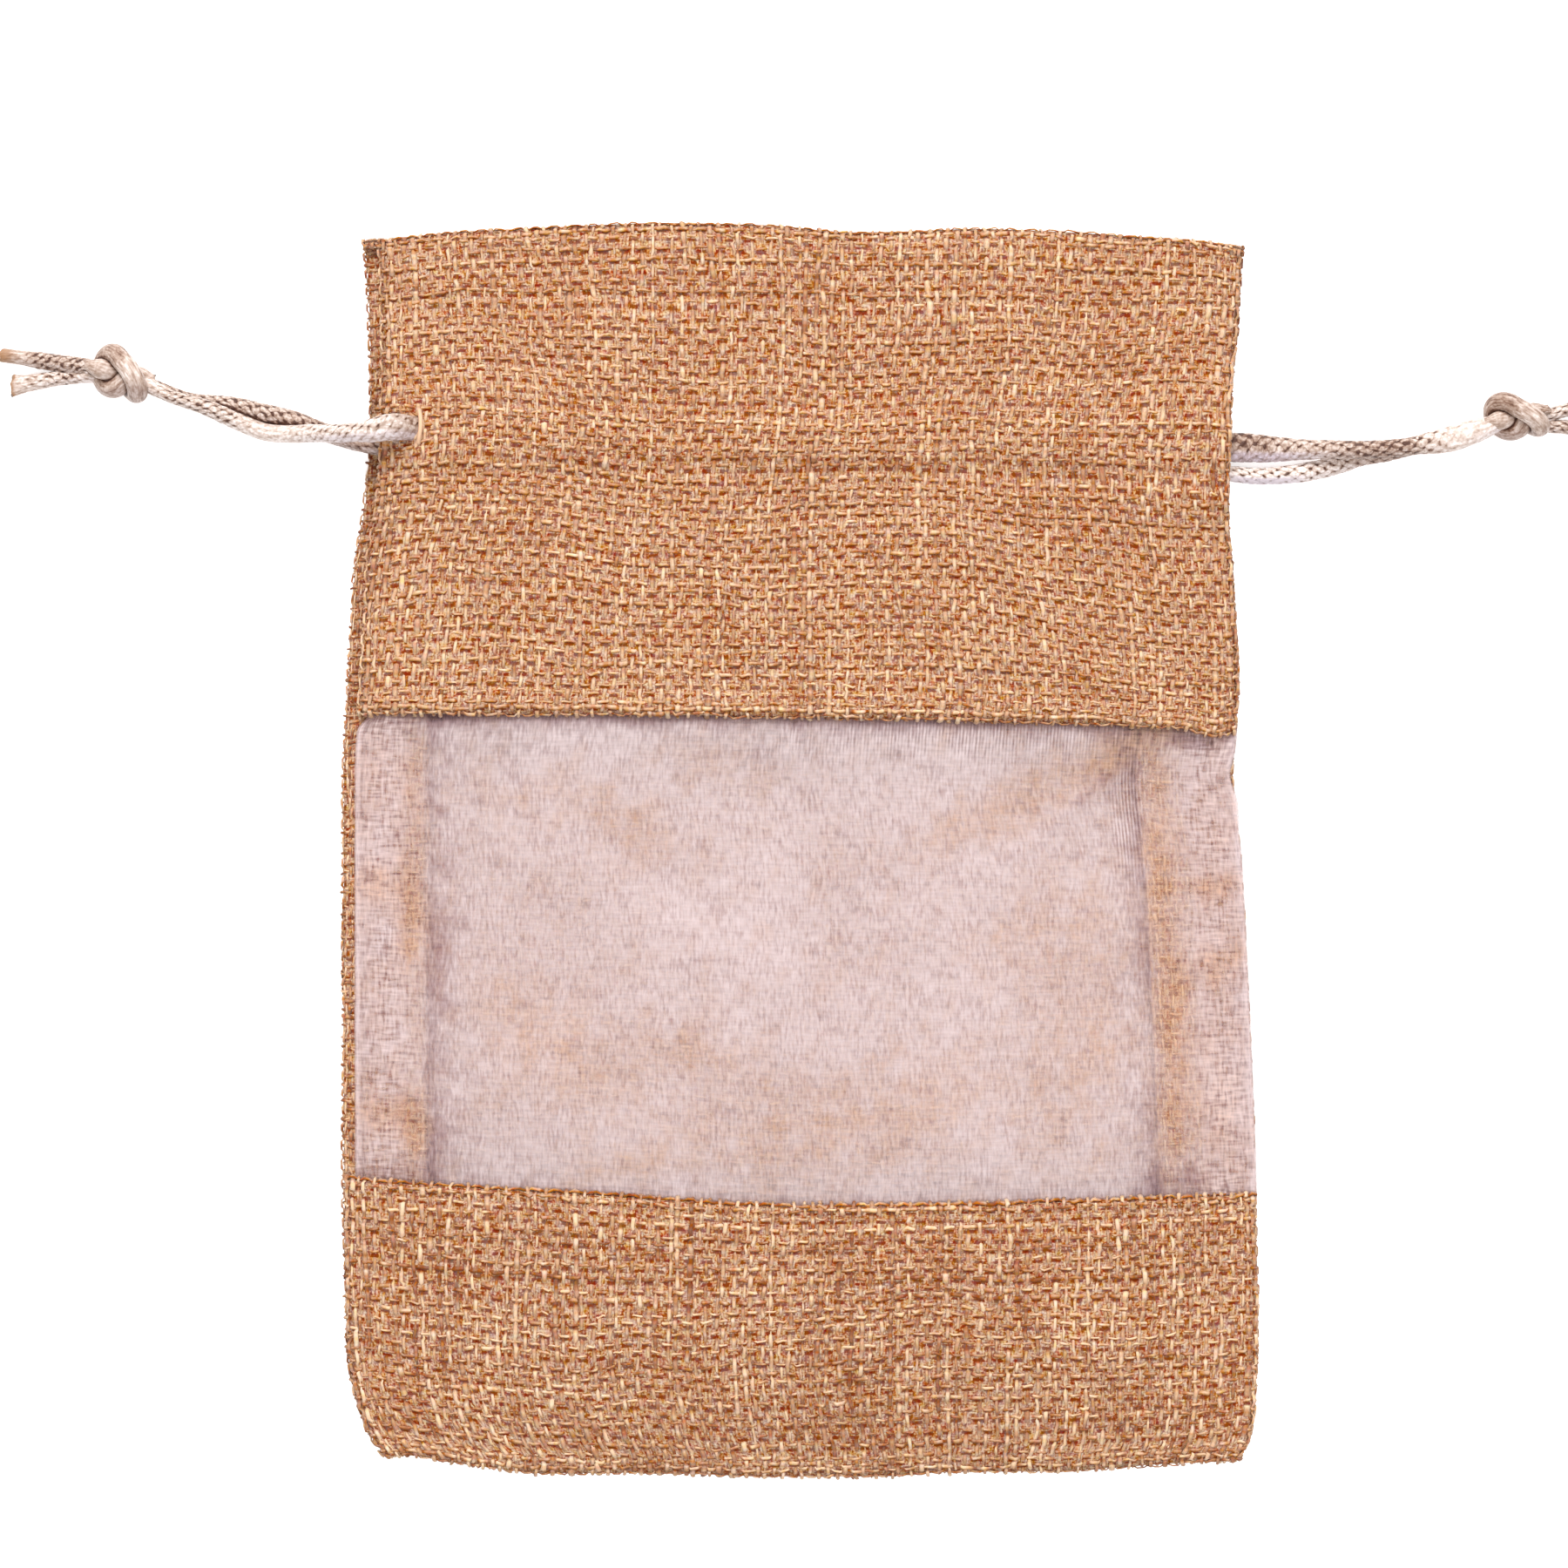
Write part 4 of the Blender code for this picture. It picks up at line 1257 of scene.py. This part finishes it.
def touching(rings, beside):
    """How closely each point of a tube touches the strand beside it, from 0 to 1, which sets the painted
    shade in the crevices between them.
    """
    steps = np.arange(len(rings))[:, None]
    own = np.arange(len(beside.points))[None, :]
    allowed = np.abs(steps - own) > beside.apart
    gaps = np.linalg.norm(rings[:, :, None, :] - beside.points[None, None, :, :], axis=-1)
    nearest = np.where(allowed[:, None, :], gaps, np.inf).min(axis=-1) / beside.radius
    return np.clip((1.05 + beside.reach - nearest) / beside.reach, 0.0, 1.0)


def ragged(angle, seed):
    """An uneven outline for a cut end."""
    return 0.16 * np.sin(3 * angle + 9 * seed) + 0.12 * np.sin(7 * angle + 4 * seed)


def make_cord(cord, beside, material):
    """One strand from its exit through the knot to its flared, scorched end, with its path and length."""
    points, length = spline([*cord.route, cord.inside, *cord.tail], CORD_STEP)
    to_end = np.linspace(length, 0.0, len(points))
    out = np.abs(points[:, 0])
    width, tone, shade, pits = (
        read_table(cord.looks, out, "out", key) for key in ("width", "tone", "shade", "pits")
    )
    flare = cord.end.flare * np.exp(-to_end / 1.3)
    flattened = 0.93 * np.minimum(1.0, (CORD_DIAMETER / width) ** 1.6)
    strand = Strand(
        points=points, wide=width / 2 * (1 + flare), high=width / 2 * flattened * (1 - 0.6 * flare),
        relief=BRAID_RELIEF, tone=tone, shade=shade, pits=pits, lean=cord.lean,
        frayed=np.exp(-((to_end / cord.end.scorch) ** 2)), slant=cord.end.slant, beside=beside,
    )
    piece = braided_tube(cord.name, cord.nodes, strand, material)
    return piece, points[:: round(1.0 / CORD_STEP)], length


def drawn_tight():
    """The middle of an overhand knot in a strand 1 across: a loose one pulled at its ends until it jams."""
    t = np.linspace(-2.3, 2.3, 400)
    loose = np.stack([t**3 - 3 * t, 0.8 * (t**4 - 4 * t * t), (t**5 - 10 * t) / 4.5], axis=1)
    along = reached(0.62 * loose)
    points = points_at(np.arange(0.0, along[-1], KNOT_SPACING), along, 0.62 * loose)
    i, j = np.triu_indices(len(points), math.ceil(1.6 / KNOT_SPACING))
    for _ in range(PULL_STEPS):
        points[-1, 0] += PULL
        points[0, 0] -= PULL
        points[[0, -1], 1:] *= 0.97
        for _ in range(SETTLING):
            points[1:-1] += 0.08 * (points[:-2] + points[2:] - 2 * points[1:-1])
            gap = points[j] - points[i]
            far = np.linalg.norm(gap, axis=1)
            hit = far < 1.0
            push = gap[hit] / far[hit, None] * (0.3 * (1.0 - far[hit]))[:, None]
            np.add.at(points, j[hit], push)
            np.add.at(points, i[hit], -push)
            for first in (0, 1):
                last = first + 2 * ((len(points) - first) // 2)
                step = points[first + 1 : last : 2] - points[first:last:2]
                long = np.linalg.norm(step, axis=1, keepdims=True)
                points[first:last:2] += 0.5 * (long - KNOT_SPACING) / long * step
                points[first + 1 : last : 2] -= 0.5 * (long - KNOT_SPACING) / long * step
    return points - points.mean(axis=0)


def turned(points, first, second, degrees):
    """Points turned from one axis towards a second."""
    cos, sin = math.cos(math.radians(degrees)), math.sin(math.radians(degrees))
    moved = points.copy()
    moved[:, first] = points[:, first] * cos - points[:, second] * sin
    moved[:, second] = points[:, second] * cos + points[:, first] * sin
    return moved


def make_knot(knot, tight, material):
    """An overhand knot in satin drawn smooth, as long as the table says from lobe to lobe."""
    thick = knot.length / KNOT_ACROSS
    points = tight[np.abs(tight[:, 0]) < KNOT_REACH] * (1.0, -1.0, 1.0)
    points = turned(turned(points, 2, 1, knot.roll), 0, 1, knot.heading)
    path, length = spline(points * thick + (knot.x, knot.y, knot.z), CORD_STEP)
    stops = np.linspace(0.0, length, len(path))
    size = thick / 2 * np.clip(np.minimum(stops, length - stops) / KNOT_TAPER, 0.25, 1.0) ** 0.5
    above = path[:, 1] - knot.y
    strand = Strand(
        points=path, wide=1.14 * size, high=size, relief=KNOT_RELIEF,
        # Painted sheen on a pale band across the knot's middle, and painted shade on its lower lobe.
        tone=knot.tone + 0.5 * bell(above, -0.1, 1.1), shade=np.clip(-0.4 - 0.5 * above, 0.0, 0.3),
        pits=np.full(len(path), KNOT_PITS), lean=0.0, frayed=np.zeros(len(path)), slant=0.0,
        beside=Beside(path, round(1.7 * thick / CORD_STEP), thick / 2, 0.45),
    )
    return braided_tube(knot.name, [knot.node], strand, material)


def make_cords(material):
    """The knots, then the cords, each with painted shade in the crevices along the strand beside it."""
    tight = drawn_tight()
    knots = {knot.name: make_knot(knot, tight, material) for knot in KNOTS}
    for cord in CORDS:
        partner = next(other for other in CORDS if other is not cord and other.exit[0] * cord.exit[0] > 0)
        other_path, _ = spline(partner.route, CORD_STEP)
        beside = Beside(other_path[::3], -1, CORD_DIAMETER / 2, 0.3)
        piece, path, length = make_cord(cord, beside, material)
        [value * MM for value in cord.exit]
        length * MM
        [[value * MM for value in point] for point in path]


# The panels


Panel = namedtuple("Panel", "name node cloths sides parts")
PANELS = (
    Panel("front_top", "front_top_panel", ("front_top",), 5, 2),
    Panel("front_bottom", "front_bottom_panel", ("front_bottom",), 5, 1),
    Panel("back", "back_panel", ("back", "allowance_left", "allowance_right"), 3, 2),
)


def make_linen(materials):
    """The woven panels, each a thin ground cloth with its warps and wefts, and its seam allowances."""
    rng = np.random.default_rng(YARN_SEED)
    warp, weft, ground = materials
    cloths = make_cloths()
    for panel in PANELS:
        own = [cloths[name] for name in panel.cloths]
        base = base_cloth(panel.name + "_ground", own, ground)
        yarns = []
        for cloth in own:
            name = cloth.name
            parts = panel.parts if name == panel.name else 1
            for part, places, material in (("warp", cloth.warps, warp), ("weft", cloth.wefts, weft)):
                for i, numbers in enumerate(np.array_split(np.arange(len(places)), parts)):
                    label = f"{name}_{part}s_{i + 1}" if parts > 1 else f"{name}_{part}s"
                    yarns.append(weave(label, cloth, part, numbers, panel.sides, material, rng))
        if panel.name == "front_top":
            yarns.append(make_rim_yarn(warp))
        dress(base, "linen", panel.node)
        for yarn in yarns:
            dress(yarn, "linen")
        sizes = [[high - low for low, high in span_of(cloth)] for cloth in own]
        wide = sum(width for width, _ in sizes)
        area = sum(width * length for width, length in sizes)
        wide * MM
        sizes[0][1] * MM
        area * MM * MM


def make_rim_yarn(material):
    """The pale yarn at the rim of the cord's hole."""
    path, _ = spline(RIM_YARN, 0.25)
    path[:, 2] += top_middle(path[:, 0], path[:, 1])
    ahead, side = carried_frames(path)
    steps = (1, len(path))
    half = np.full(steps, RIM_YARN_HALF)
    return tubes_piece(
        "hole_rim_yarn", path[None], side[None], np.cross(ahead, side)[None], half, 0.8 * half, 8,
        material, np.full(steps, 0.5), np.full(steps, RIM_YARN_TONE),
    )


def off_hems(x, y):
    """How far below the window's upper hem and above its lower hem each point lies, 0 under the hem."""
    return np.maximum(edge_y(WINDOW_TOP, x) - y, 0.0), np.maximum(y - edge_y(WINDOW_BOTTOM, x), 0.0)


def organza_middle(x, y):
    """The height of the organza, which dips in under each hem."""
    below_hem, above_hem = off_hems(x, y)
    dip = 0.35 * np.exp(-below_hem / 1.5) + 0.25 * np.exp(-above_hem / 1.5)
    return front_underside(x, y) + ORGANZA_CLEARANCE - dip + spots(x, y, CREASES)


def organza_place(across, along):
    """Plan positions on the organza, its top left corner rounded and its right edge a little wavy."""
    place = panel_place(WINDOW_BOTTOM, WINDOW_TOP, WINDOW_INSET, 0.0)
    u = across / ORGANZA_WIDTH
    x, y = place(u, along / ORGANZA_LENGTH)
    below_hem = ORGANZA_LENGTH - along
    x = x + 0.45 * np.maximum(1 - 2 * u, 0.0)
    x = x + 1.3 * np.exp(-((below_hem / 1.1) ** 2)) * np.exp(-np.maximum(across, 0) / 2.0)
    notch = sum(each.depth * bell(y, each.y, each.spread) for each in RIGHT_NOTCHES)
    return x - notch * np.exp(-np.maximum(ORGANZA_WIDTH - across, 0) / 3.0), y


def make_organza(material):
    """The window: one sheet of organza, its side allowances folded in behind it."""
    reach = math.pi * ORGANZA_ROLL + ORGANZA_ALLOWANCE
    columns = np.concatenate([
        np.linspace(-reach, 0, 12, endpoint=False),
        np.linspace(0, ORGANZA_WIDTH, 181, endpoint=False),
        np.linspace(ORGANZA_WIDTH, ORGANZA_WIDTH + reach, 13),
    ])
    rows = np.linspace(-ORGANZA_HIDDEN, ORGANZA_LENGTH + ORGANZA_HIDDEN, 100)
    across, along = np.meshgrid(columns, rows)
    u, drop = folded(across, ORGANZA_WIDTH, ORGANZA_ROLL)
    x, y = organza_place(u, along)
    z = organza_middle(x, y) - drop
    points = np.stack([x, y, z], axis=-1).reshape(-1, 3)
    piece = new_piece("organza_window", points, [grid_quads(len(rows), len(columns))], material)
    doubled = bell(np.minimum(across, ORGANZA_WIDTH - across), 3.0, 3.4)
    give(piece, "cloth", across, along, doubled)
    lie, warm = organza_lie(x, y, across)
    give(piece, "lie", *lie)
    give(piece, "warm", warm)
    dress(piece, "organza", "window_panel")
    return piece


def organza_lie(x, y, across):
    """How closely the organza lies on what is behind it, how shaded it is and how finely pleated, and how
    warm the linen's glow through it is."""
    folded_in = (across < -0.4) | (across > ORGANZA_WIDTH + 0.4)
    inward = inward_of(x, y)
    allowance = np.where(x < 0, SEAM_ALLOWANCE, RIGHT_ALLOWANCE)
    over = 1 / (1 + np.exp((inward - allowance) / 0.2))  # 1 over a seam allowance, and 0 past its edge
    clouds = spots(x, y, CONTACTS) * (1 + 0.35 * soft_waves(x, y, 33, 4))
    clouds = clouds + 0.05 * soft_waves(x, y, 34, 8) + 0.07 * soft_waves(x, y, 35, 3.0)
    mottled = 0.06 * soft_waves(x, y, 36, 5) + 0.07 * soft_waves(x, y, 37, 2.5)
    contact = clouds * (0.8 - 0.15 * over) + (0.37 + 0.2 * soft_waves(x, y, 31, 9)) * over
    warm = clouds * (1.3 - 0.35 * over) + 0.1 * over
    edge = np.minimum(np.abs(across), np.abs(across - ORGANZA_WIDTH))
    contact = np.where(folded_in, 1.1, contact - 0.9 * bell(edge, 0.0, 0.3))
    past = np.maximum(inward - allowance, 0.0)
    beside = (1 - over) * np.exp(-past / 1.8) * (0.56 + 0.2 * soft_waves(x, y, 32, 14))
    below_hem, above_hem = off_hems(x, y)
    shade = beside + 0.85 * np.exp(-below_hem / 0.9) + 0.3 * np.exp(-above_hem / 0.7)
    shade = shade + spots(x, y, SHADES) + 1.4 * spots(x, y - 0.5, CREASES) + mottled
    return (contact, np.where(folded_in, 0.1, shade), spots(x, y, PLEATS)), warm


# The studio


def in_scene(name, data, place):
    """A camera or a light at a place in millimetres."""
    made = bpy.data.objects.new(name, data)
    made.location = [value * MM for value in place]
    bpy.context.scene.collection.objects.link(made)
    return made


def make_camera():
    data = bpy.data.cameras.new("camera")
    data.lens = LENS
    data.sensor_width = SENSOR
    bpy.context.scene.camera = in_scene("camera", data, CAMERA_PLACE)


def make_floor():
    made, _, shader = new_material("white_table", roughness=0.9, specular=0.0)
    shader.inputs["Base Color"].default_value = (0.82, 0.82, 0.82, 1.0)
    shader.inputs["Emission Color"].default_value = (1.0, 1.0, 1.0, 1.0)
    shader.inputs["Emission Strength"].default_value = 0.5
    corners = TABLE_HALF * np.array([[-1, -1, 0], [1, -1, 0], [1, 1, 0], [-1, 1, 0]])
    new_piece("table", corners, [np.array([[0, 1, 2, 3]])], made)


def make_lights():
    """Two soft round lights aimed at the pouch, in a pale room."""
    for light in LIGHTS:
        data = bpy.data.lights.new(light.name, "AREA")
        data.shape = "DISK"
        data.size = light.size * MM
        data.energy = light.power
        made = in_scene(light.name, data, (light.x, light.y, light.z))
        made.rotation_euler = (-made.location).to_track_quat("-Z", "Y").to_euler()
    world = bpy.data.worlds.new("studio")
    bpy.context.scene.world = world
    world.use_nodes = True
    background = world.node_tree.nodes["Background"]
    background.inputs["Color"].default_value = (1.0, 1.0, 1.0, 1.0)
    background.inputs["Strength"].default_value = ROOM_LIGHT
    bpy.context.scene.view_settings.view_transform = "Standard"


def main():
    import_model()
    make_camera()
    make_cords(satin_material())
    make_linen((
        yarn_material("linen_warp", True),
        yarn_material("linen_weft", False),
        base_material(),
    ))
    make_organza(organza_material())
    make_floor()
    make_lights()


main()
